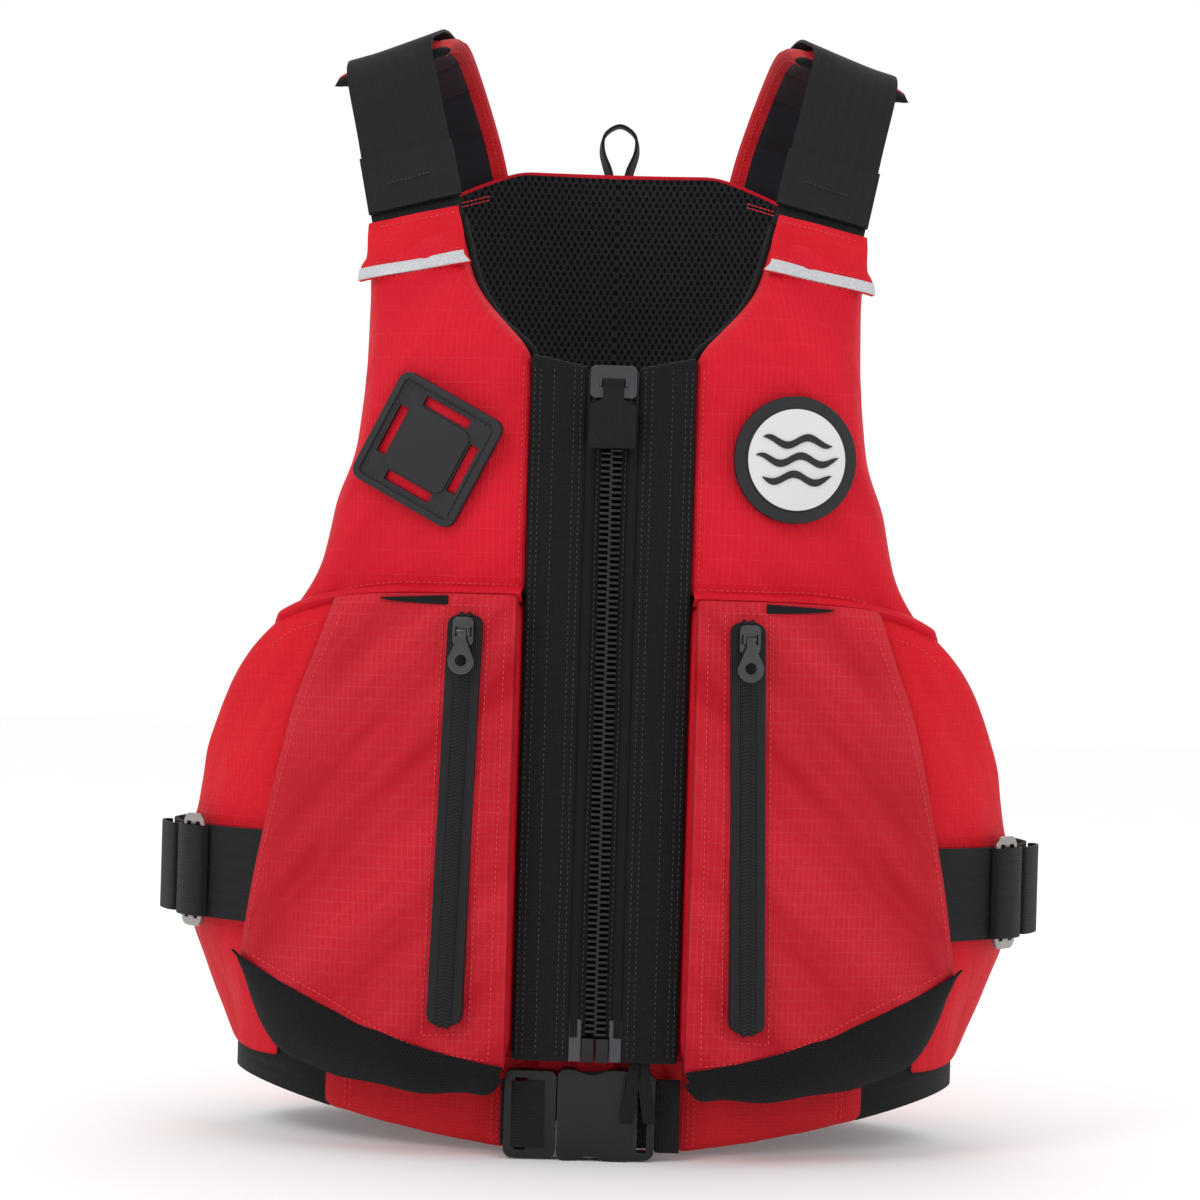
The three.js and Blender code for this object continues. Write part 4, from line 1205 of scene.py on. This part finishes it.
def stripOutline(across, up):
    angle, out, height = flapOutline(across, 0.015 + 0.19 * up)
    return angle, out + 0.0019, height


def flapLine(height, sign):
    # a row of stitches across the flap, at a share of its height
    line = []
    length, pitch = 0.046, threads["red"]["pitch"]
    for step in range(int(length / pitch)):
        across = 0.03 + 0.94 * step * pitch / length
        angle, out, z = flapOutline(across, height)
        line.append((torsoPoint(angle, out + 0.0011, z, sign), Vector((0.25 * sign, -0.96, 0.1))))
    return line


def makeFlap(side, sign):
    body = "front_" + side
    flap = torsoSheet(f"strap_flap_{side}", 30, 24, flapOutline, 0.0016, (0.05, 0.03), sign)
    finishPiece(flap, cloths["side"], "red_fabric", body, f"strap_anchor_{side}")
    strip = torsoSheet(f"reflective_tape_{side}", 30, 8, stripOutline, 0.0008, (0.05, 0.006), sign)
    finishPiece(strip, cloths["reflective"], "reflective", body, f"reflective_strip_{side}")
    rows = [flapLine(height, sign) for height in (0.26, 0.90)]
    sewOn(f"flap_stitches_{side}", rows, "red", "red_fabric", body)


for side, sign in sides:
    makePad(side, sign)
    makeShoulderStrap(side, sign)
    makeFlap(side, sign)
print("shoulders ready")

# ---- the zip and its facing ----
zipPlan = {
    "pitch": 0.0031,
    "toothHeight": 0.0016,
    "toothDepth": 0.0050,
    "toothWidth": 0.0062,
    "tapeInside": 0.0052,
    "tapeOutside": 0.0136,
    "backingGap": 0.0068,
    "reach": 0.0008,
    "bottom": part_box("zip_tape_left")[0][2],
    "top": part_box("zip_tape_left")[1][2],
    "plane": (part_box("zip_tape_left")[0][1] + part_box("zip_tape_left")[1][1]) / 2,
}


def makeTeeth(side, sign):
    plan = zipPlan
    width = plan["toothWidth"]
    shift = 0.0 if sign > 0 else plan["pitch"] / 2
    deselectAll()
    centre = (sign * (width / 2 - plan["reach"]), plan["plane"], plan["bottom"] + plan["pitch"] / 2 + shift)
    size = (width, plan["toothDepth"], plan["toothHeight"])
    bpy.ops.mesh.primitive_cube_add(size=1, location=centre, scale=size)
    tooth = bpy.context.active_object
    tooth.name = f"zip_teeth_{side}"
    bpy.ops.object.transform_apply(location=True, rotation=True, scale=True)
    bevel = tooth.modifiers.new("Bevel", "BEVEL")
    bevel.width = 0.0005
    bevel.segments = 2
    array = tooth.modifiers.new("Array", "ARRAY")
    array.use_relative_offset = False
    array.use_constant_offset = True
    array.constant_offset_displace = (0, 0, plan["pitch"])
    array.count = int((plan["top"] - plan["bottom"] - plan["pitch"]) / plan["pitch"])
    applyModifiers(tooth)
    smoothShade(tooth, 40)
    return tooth


def makeZipTape(side, sign):
    plan = zipPlan
    inside, outside = plan["tapeInside"], plan["tapeOutside"]

    def place(across, up):
        x = inside + across * (outside - inside)
        raised = 0.0022 * max(0.0, math.sin(math.pi * clamped((x - 0.0085) / 0.0055))) ** 0.7
        return (sign * x, plan["plane"] - raised, plan["bottom"] + up * (plan["top"] - plan["bottom"]))

    size = (outside - inside, plan["top"] - plan["bottom"])
    return gridPiece(f"zip_tape_cloth_{side}", 16, 40, place, size, 0.001)


def upright(x, y, low, high, pitch):
    count = int((high - low) / pitch)
    return [(Vector((x, y, low + i * pitch)), Vector((0, -1, 0))) for i in range(count)]


for side, sign in sides:
    body = "front_" + side
    teeth = makeTeeth(side, sign)
    tape = makeZipTape(side, sign)
    finishPiece(tape, cloths["tape"], "black_fabric", body, f"zip_tape_{side}")
    finishPiece(teeth, cloths["teeth"], "plastic", body)
    backing = gridPiece(f"zip_backing_{side}", 4, 20, lambda across, up: (
        sign * (0.0002 + across * 0.0135), zipPlan["plane"] + zipPlan["backingGap"] + across * 0.001,
        0.054 + up * (zipPlan["top"] - 0.054)), (0.0135, 0.33), 0.0008)
    finishPiece(backing, cloths["tape"], "black_fabric", body)
    film = gridPiece(f"zip_film_{side}", 3, 6, lambda across, up: (
        sign * (0.0074 + across * 0.0060), zipPlan["plane"] - 0.0016, 0.0525 + up * 0.0215),
        (0.006, 0.02), 0.0005)
    finishPiece(film, cloths["greyFilm"], "plastic", body)
    facing = bevelledCopy(f"zip_facing_{side}", f"facing_{side}", 0.0022)
    finishPiece(facing, cloths["facing"], "black_fabric", body, f"zip_facing_{side}")
    softPieces["facing", side] = facing
    find = frontSurface(facing)
    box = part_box(f"zip_facing_{side}")
    low, high = (box[0][2] + 0.003) / mm, (box[1][2] - 0.007) / mm
    lines = [surfaceRoute(find, [(sign * x, low), (sign * x, high)], threads["grey"]["pitch"])
             for x in (16.5, 20.0, 30.5, 37.5, 40.5)]
    beside = [upright(sign * 0.0072, zipPlan["plane"] - 0.0009, zipPlan["bottom"], zipPlan["top"], 0.003)]
    sewOn(f"facing_stitches_{side}", lines + beside, "grey", "black_fabric", body)
print("zip ready")

# ---- topstitching on the red cloth; routes in millimetres across and up, for the wearer's left ----
seams = {
    "chest": [
        [(45.5, 296.5), (80, 296.5), (112, 296), (140, 291), (163, 281), (176, 273)],
        [(46.5, 300), (46.5, 410)],
        [(77, 463), (105, 458), (131, 453)],
    ],
    "pocket": [
        [(52, 283), (53, 170), (54.5, 52)],
        [(136, 281), (146, 259), (160, 222), (174, 165), (185, 104)],
        [(56, 52.5), (84, 56), (112, 66), (137, 79), (163, 91), (181, 99)],
        [(60.5, 285), (83.5, 285)],
        [(60.5, 285), (65, 66)],
        [(83.5, 285), (89, 64)],
        [(65, 66), (89, 64)],
    ],
    "side": [
        [(150, 274), (165, 269), (176, 260)],
    ],
}
for side, sign in sides:
    body = "front_" + side
    for part, piece in (("chest", "chest_panel"), ("pocket", "pocket"), ("side", "side_panel")):
        find = frontSurface(softPieces[piece, side])
        lines = [surfaceRoute(find, [(sign * x, z) for x, z in route], threads["red"]["pitch"])
                 for route in seams[part]]
        sewOn(f"{part}_stitches_{side}", lines, "red", "red_fabric", body)

    # black binding round the neckline
    neck = [(42.6, 409), (44, 419), (60.5, 434), (71.0, 450), (76.2, 463), (79.4, 475), (83.4, 489)]
    route = curveThrough([(x * mm, z * mm, 0) for x, z in neck], 60)
    points = [torsoPoint(sign * angleAtWidth(p.x, 0.022), 0.0150, p.y) for p in route]
    binding = tubeAlong(f"neck_binding_{side}", points, 0.0024)
    finishPiece(binding, cloths["tape"], "black_fabric", body)
print("stitching ready")

# ---- pocket zips ----
pocketZip = {
    "width": 0.0175,
    "bottom": (77.5, 70),
    "top": (72, 281),
    "corner": 0.006,
    "out": 0.0500,
    "thickness": 0.0060,
    "coilRise": 0.0012,
    "coilShare": 0.14,
}


def makePocketZip(side, sign):
    plan = pocketZip
    low, high = Vector((*plan["bottom"], 0)) * mm, Vector((*plan["top"], 0)) * mm
    length = (high - low).length

    def place(across, up):
        middle = low.lerp(high, up)
        fromEnd = min(up, 1 - up) * length
        half = plan["width"] / 2
        if fromEnd < plan["corner"]:
            half -= plan["corner"] - math.sqrt(max(0, plan["corner"] ** 2 - (plan["corner"] - fromEnd) ** 2))
        x = middle.x + (across - 0.5) * 2 * half
        coil = plan["coilRise"] if abs(across - 0.5) < plan["coilShare"] else 0.0
        return torsoPoint(angleAtWidth(x, 0.051), plan["out"] + coil, middle.y, sign)

    return gridPiece(f"pocket_zip_tape_{side}", 24, 120, place, (plan["width"], length), plan["thickness"])


for side, sign in sides:
    body = "front_" + side
    finishPiece(makePocketZip(side, sign), cloths["coil"], "webbing", body, f"pocket_zip_{side}")
    slider = bevelledCopy(f"pocket_slider_{side}", f"pocket_slider_shell_{side}", 0.0006)
    finishPiece(slider, cloths["darkMetal"], "plastic", f"pocket_slider_{side}", f"pocket_slider_{side}")
    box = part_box(f"pocket_pull_{side}")
    eye = {"centre": ((box[0][0] + box[1][0]) / 2, (box[0][1] + box[1][1]) / 2, box[0][2] + 0.0072),
           "outward": Vector((0.182 * sign, -0.983, 0)), "radius": 0.0030}
    pull = bevelledCopy(f"pocket_pull_{side}", f"pocket_pull_shell_{side}", 0.0006, hole=eye)
    finishPiece(pull, cloths["darkMetal"], "rubber", f"pocket_pull_{side}", f"pocket_pull_{side}")
print("pocket zips ready")


# ---- straps round the sides and the waist ----
def beltLift(angle):
    return 0.031 * abs(math.sin(math.radians(angle))) ** 1.6


def torsoBand(name, route, low, high, thickness, rows=40, columns=8, lift=None, sign=1):
    # a band round the body; route gives its angle and its distance out in millimetres
    points = curveThrough([(a, o, 0) for a, o in route], rows + 1)
    whole = [torsoPoint(p.x, p.y * mm, 0.1) for p in points]

    def place(across, up):
        p = points[min(rows, round(up * rows))]
        raised = lift(p.x) if lift else 0
        return torsoPoint(p.x, p.y * mm, low + across * (high - low) + raised, sign)

    return gridPiece(name, columns, rows, place, (high - low, routeLength(whole)), thickness)


strapMiddle = (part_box("side_strap_left")[0][2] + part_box("side_strap_left")[1][2]) / 2
sideStrap = {"low": strapMiddle - 0.0245, "high": strapMiddle + 0.0245, "webbing": 0.0016}
sleeveEnds = (float(angleAtWidth(0.0458, 0.009)), float(angleAtWidth(0.143, 0.009)))
leftSleeve = makeSleeve("belt_cover_left", 19, sleevePlace(*sleeveEnds, 0.0078, 0.045, 0.004, 0.4))
for side, sign in sides:
    body = "front_" + side
    plan = sideStrap
    under = torsoBand(f"side_webbing_{side}", [(52.5, 41.9), (66, 42.2), (76, 42.2), (84, 42.4), (88, 43.2)],
                      plan["low"], plan["high"], plan["webbing"], sign=sign)
    finishPiece(under, cloths["webbing"], "webbing", body, f"side_strap_{side}")
    fold = [(77, 45.4), (77.4, 47.8), (80, 49.2), (85, 49.8), (88.6, 48.2), (88.2, 45.2)]
    loop = torsoBand(f"side_loop_{side}", fold, plan["low"] + 0.001, plan["high"] - 0.001,
                     plan["webbing"], 60, sign=sign)
    finishPiece(loop, cloths["webbing"], "webbing", body)
    roll = [(66.4, 44.9), (66.9, 48.3), (69.2, 49.9), (71.8, 49.9), (74.2, 48.5), (75.4, 46.9), (76.1, 44.9)]
    wrap = torsoBand(f"side_wrap_{side}", roll, plan["low"] + 0.0005, plan["high"] - 0.0005,
                     plan["webbing"], 60, sign=sign)
    finishPiece(wrap, cloths["webbing"], "webbing", f"side_slider_{side}")
    behind = [(89.5, 43.2), (94, 42.2), (105, 42), (114, 40), (122, 35.5)]
    rear = torsoBand(f"side_webbing_rear_{side}", behind, plan["low"], plan["high"], plan["webbing"],
                     sign=sign)
    finishPiece(rear, cloths["webbing"], "webbing", "back", f"side_strap_rear_{side}")
    slider = bevelledCopy(f"side_slider_{side}", f"side_slider_bar_{side}", 0.0009)
    finishPiece(slider, cloths["steel"], "steel", f"side_slider_{side}", f"side_slider_{side}")
    gusset = torsoBand(f"side_gusset_{side}", [(86, 3), (90, 5), (94, 5), (100, 3)], 0.078, 0.160, 0.0016,
                       sign=sign)
    finishPiece(gusset, cloths["lining"], "black_fabric", None)
    torsoPoint(87 * sign, 0.004, 0.12)
    torsoPoint(99 * sign, 0.004, 0.12)
    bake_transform(gusset)

    sleeve = leftSleeve if sign > 0 else mirrored(leftSleeve, "belt_cover_right")
    finishPiece(sleeve, cloths["binding"], "red_fabric", "back", f"belt_sleeve_{side}")
    find = frontSurface(sleeve)
    lines = [surfaceRoute(find, [(sign * x, 4 + (x - 45) * 0.18), (sign * x, 38 + (x - 45) * 0.1)],
                          threads["red"]["pitch"]) for x in (49.5, 52.5, 128, 131)]
    sewOn(f"sleeve_stitches_{side}", lines, "red", "red_fabric", "back")
    web = torsoBand(f"belt_webbing_{side}", [(46, 5), (70, 5), (90, 5), (105, 5), (119.5, 5)], 0.0, 0.038,
                    0.0018, 80, lift=beltLift, sign=sign)
    finishPiece(web, cloths["webbing"], "webbing", "back", f"belt_side_web_{side}")
print("straps ready")

# ---- hardware ----
for node, name, width, material, slot, body in (
    ("buckle_female", "buckle_socket", 0.0012, "plastic", "plastic", "back"),
    ("buckle_male", "buckle_tongue", 0.0010, "plastic", "plastic", "buckle_male"),
    ("buckle_prong_upper", "buckle_spring_upper", 0.0008, "plastic", "plastic", "buckle_prong_upper"),
    ("buckle_prong_lower", "buckle_spring_lower", 0.0008, "plastic", "plastic", "buckle_prong_lower"),
    ("main_slider", "zip_slider", 0.0005, "darkMetal", "steel", "main_slider"),
    ("main_pull", "zip_pull", 0.0009, "webbing", "webbing", "main_pull"),
    ("zip_box", "zip_stop_box", 0.0006, "plastic", "plastic", "front_left"),
    ("zip_pin", "zip_stop_pin", 0.0006, "plastic", "plastic", "front_right"),
    ("lash_tab", "lash_patch", 0.0006, "rubber", "rubber", "front_right"),
    ("belt_front_web", "belt_front_webbing", 0.0005, "webbing", "webbing", "back"),
):
    piece = bevelledCopy(node, name, width)
    if material == "webbing":
        deselectAll()
        choose(piece)
        bpy.ops.object.mode_set(mode="EDIT")
        bpy.ops.mesh.select_all(action="SELECT")
        bpy.ops.uv.cube_project(cube_size=1.0)
        bpy.ops.object.mode_set(mode="OBJECT")
    finishPiece(piece, cloths[material], slot, body, node)


fitting = {"width": 0.094, "out": 0.037, "height": 0.365, "lashTilt": 27.6}


def standing(points, sign=1):
    # places local points on the chest: their X runs round the body and their -Y points outwards
    angle = angleAtWidth(fitting["width"], 0.036)
    centre = onTorso(angle, np.array(fitting["out"]), np.array(fitting["height"]))
    turn = math.radians(float(angle))
    outward = np.array([math.sin(turn) / torso["halfWidth"], -math.cos(turn) / torso["halfDepth"], 0])
    outward /= np.linalg.norm(outward)
    right = np.array([-outward[1], outward[0], 0])
    points = np.asarray(points, float)
    placed = centre + points[:, :1] * right - points[:, 1:2] * outward + points[:, 2:] * np.array([0, 0, 1])
    return placed * np.array([sign, 1, 1])


def makeBadge():
    # a black rubber disc with a pale face and three raised waves
    rim = bevelledCopy("badge", "wave_badge", 0.0008)
    finishPiece(rim, cloths["rubber"], "rubber", "front_left", "badge")
    deselectAll()
    bpy.ops.mesh.primitive_cylinder_add(vertices=72, radius=0.0262, depth=0.0009,
                                        rotation=(math.pi / 2, 0, 0))
    face = bpy.context.active_object
    face.name = "badge_face"
    bpy.ops.object.transform_apply(location=True, rotation=True, scale=True)
    bevel = face.modifiers.new("Bevel", "BEVEL")
    bevel.width = 0.0004
    bevel.segments = 2
    applyModifiers(face)
    setCoordinates(face, standing(coordinates(face) + np.array([0, -0.0043, 0])))
    smoothShade(face, 40)
    finishPiece(face, cloths["pale"], "rubber", "front_left")
    for index, middle in enumerate((0.0095, 0.0, -0.0095)):
        reach = math.sqrt(0.0225 ** 2 - (abs(middle) + 0.003) ** 2)

        def place(across, up):
            x = (2 * across - 1) * reach
            rise = 0.0021 * math.sin(x / 0.0225 * 2 * math.pi + index)
            half = 0.0019 * max(0.05, 1 - abs(2 * across - 1) ** 6)
            point = standing([(x, -0.0050, middle + rise + (2 * up - 1) * half)])[0]
            return tuple(point)

        wave = gridPiece(f"badge_wave_{index}", 40, 4, place, (2 * reach, 0.004), 0.0009)
        finishPiece(wave, cloths["rubber"], "rubber", "front_left")


def makeMounts():
    # soft mounts that carry the badge and the lash tab on the curved cloth
    for name, material, slot, body, sign in (("badge_mount", "rubber", "rubber", "front_left", 1),
                                             ("lash_mount", "chest", "red_fabric", "front_right", -1)):
        deselectAll()
        if sign > 0:
            bpy.ops.mesh.primitive_cylinder_add(vertices=64, radius=0.0290, depth=0.009,
                                                rotation=(math.pi / 2, 0, 0))
        else:
            bpy.ops.mesh.primitive_cube_add(size=1, scale=(0.050, 0.009, 0.050),
                                            rotation=(0, math.radians(-fitting["lashTilt"]), 0))
        mount = bpy.context.active_object
        mount.name = name
        bpy.ops.object.transform_apply(location=True, rotation=True, scale=True)
        bevel = mount.modifiers.new("Bevel", "BEVEL")
        bevel.width = 0.0012
        bevel.segments = 3
        applyModifiers(mount)
        placed = standing(coordinates(mount) + np.array([0, 0.0043, 0]), sign)
        setCoordinates(mount, placed)
        faceOutwards(mount)
        smoothShade(mount, 40)
        finishPiece(mount, cloths[material], slot, body)


def makeLashStitches():
    tilt = math.radians(fitting["lashTilt"])
    half = 0.0258
    corners = [(-half, -half), (half, -half), (half, half), (-half, half)]
    lines = []
    for (ax, az), (bx, bz) in zip(corners, corners[1:] + corners[:1]):
        flat = []
        for step in range(17):
            share = 0.02 + 0.96 * step / 16
            x, z = ax + (bx - ax) * share, az + (bz - az) * share
            flat.append((x * math.cos(tilt) - z * math.sin(tilt), -0.0034,
                         x * math.sin(tilt) + z * math.cos(tilt)))
        placed = standing(flat, -1)
        lines.append([(Vector(p), Vector((-0.36, -0.93, 0))) for p in placed])
    stitches = stitchMesh("lash_stitches", lines, threads["black"])
    finishPiece(stitches, cloths["greyThread"], "rubber", "front_right")


def makeHangLoop():
    # one narrow strap, folded to a loop, with both its ends sewn inside the back
    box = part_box("hang_loop")
    y, low = (box[0][1] + box[1][1]) / 2, box[0][2]
    right = [(0.0040, -0.009), (0.0062, 0.002), (0.0100, 0.014), (0.0085, 0.0235)]
    left = [(-x, z) for x, z in reversed(right)]
    route = [(x, y, low + z) for x, z in right + [(0, 0.0287)] + left]
    loop = bandAlong("hanging_loop", route, (0.0, 1.0, 0.0), 0.0105, 0.0017, 80, 6)
    points = coordinates(loop)
    # the strap turns a little, so that its flat side shows from the front
    turned = np.clip((low + 0.024 - points[:, 2]) / 0.02, 0, 1) * 0.28
    side = np.sign(points[:, 0])
    points[:, 0] += (points[:, 1] - y) * turned * side * 1.1
    setCoordinates(loop, points)
    finishPiece(loop, cloths["webbing"], "webbing", "hang_loop", "hang_loop")


def makeWebbingTab():
    # two short loops of narrow webbing that hang from the facing
    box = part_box("webbing_tab")
    y = (box[0][1] + box[1][1]) / 2
    for index, (x, lean) in enumerate(((0.0195, -0.002), (0.0270, 0.002))):
        route = [(x - lean, y - 0.0004, 0.0515), (x, y - 0.0012, 0.036), (x + lean, y - 0.0004, 0.0225),
                 (x + lean, y + 0.0010, 0.0212), (x + lean, y + 0.0018, 0.0235), (x, y + 0.0014, 0.036),
                 (x - lean, y + 0.0010, 0.0515)]
        loop = bandAlong(f"hanging_tab_{index}", route, (1, 0, 0), 0.0066, 0.0011, 60, 4)
        replaced = ["webbing_tab"] if index == 0 else []
        finishPiece(loop, cloths["webbing"], "webbing", "front_left", *replaced)


def makeBuckleWebs():
    # the belt's webbing in the slots of both halves
    male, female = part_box("buckle_male"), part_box("buckle_female")
    y = (female[0][1] + female[1][1]) / 2
    front = male[0][1] - 0.0011
    over = [(-0.0475, y + 0.0008, 0.0235), (-0.0432, y - 0.0010, 0.0235), (-0.0400, front, 0.0235),
            (-0.0290, front, 0.0235), (-0.0255, front + 0.0006, 0.0235)]
    beside = [(0.0232, y + 0.0008, 0.0235), (0.0282, y + 0.0002, 0.0235), (0.0332, y - 0.0006, 0.0235)]
    for name, route, body in (("buckle_web_male", over, "buckle_male"),
                              ("buckle_web_female", beside, "back")):
        web = bandAlong(name, route, (0, 0, 1), 0.034, 0.0018, 20, 8)
        finishPiece(web, cloths["webbing"], "webbing", body)


def makeBarTacks():
    # short red bar tacks where the lining is sewn under the pads
    for side, sign in sides:
        lines = []
        for drop in (0.0, 0.0022):
            line = []
            for step in range(8):
                x = 0.074 + step * 0.0023
                angle = 180 - float(angleAtWidth(x, 0.0))
                point = torsoPoint(angle, -0.0002, 0.5205 - step * 0.0007 - drop, sign)
                line.append((point, Vector((0, -1, 0))))
            lines.append(line)
        sewOn(f"bar_tack_{side}", lines, "red", "red_fabric", "back")


makeBadge()
makeMounts()
makeLashStitches()
makeHangLoop()
makeWebbingTab()
makeBuckleWebs()
makeBarTacks()
print("hardware ready")

# ---- floor, light and camera ----
studio = {
    "camera": (-0.0039, torso["centreY"] - 2.0, 0.290),
    "lens": 109,
    "roll": 1.65,
    "floor": 12,
    "skyStrength": 1.0,
    "lamps": [("Key", (-1.5, -1.9, 2.0), (0, 0, 0.3), 0.9, 15),
              ("Fill", (1.8, -1.7, 1.2), (0, 0, 0.3), 1.4, 3),
              ("Back", (0.4, 1.9, 1.7), (0, 0, 0.35), 1.4, 8)],
}
deselectAll()
bpy.ops.mesh.primitive_plane_add(size=studio["floor"], location=(0, 0, 0))
floor = bpy.context.active_object
floor.name = "studio_floor"
paper = Recipe("Studio paper", 0.9)
paper.colour(paper.mixColour(paper.noise(3.0), (0.97, 0.97, 0.97, 1), (0.99, 0.99, 0.99, 1)))
floor.data.materials.append(paper.material)

world = bpy.data.worlds.new("Studio")
bpy.context.scene.world = world
world.use_nodes = True
world.node_tree.nodes["Background"].inputs["Color"].default_value = (1, 1, 1, 1)
world.node_tree.nodes["Background"].inputs["Strength"].default_value = studio["skyStrength"]

for name, place, aim, size, power in studio["lamps"]:
    lamp = bpy.data.lights.new(name, "AREA")
    lamp.size = size
    lamp.energy = power
    holder = bpy.data.objects.new(name, lamp)
    bpy.context.scene.collection.objects.link(holder)
    holder.location = place
    holder.rotation_euler = (Vector(aim) - Vector(place)).to_track_quat("-Z", "Y").to_euler()

cameraData = bpy.data.cameras.new("Camera")
cameraData.lens = studio["lens"]
cameraData.sensor_width = 36
camera = bpy.data.objects.new("Camera", cameraData)
bpy.context.scene.collection.objects.link(camera)
camera.location = studio["camera"]
camera.rotation_euler = (math.radians(90), math.radians(-studio["roll"]), 0)
bpy.context.scene.camera = camera
bpy.context.scene.view_settings.view_transform = "Standard"
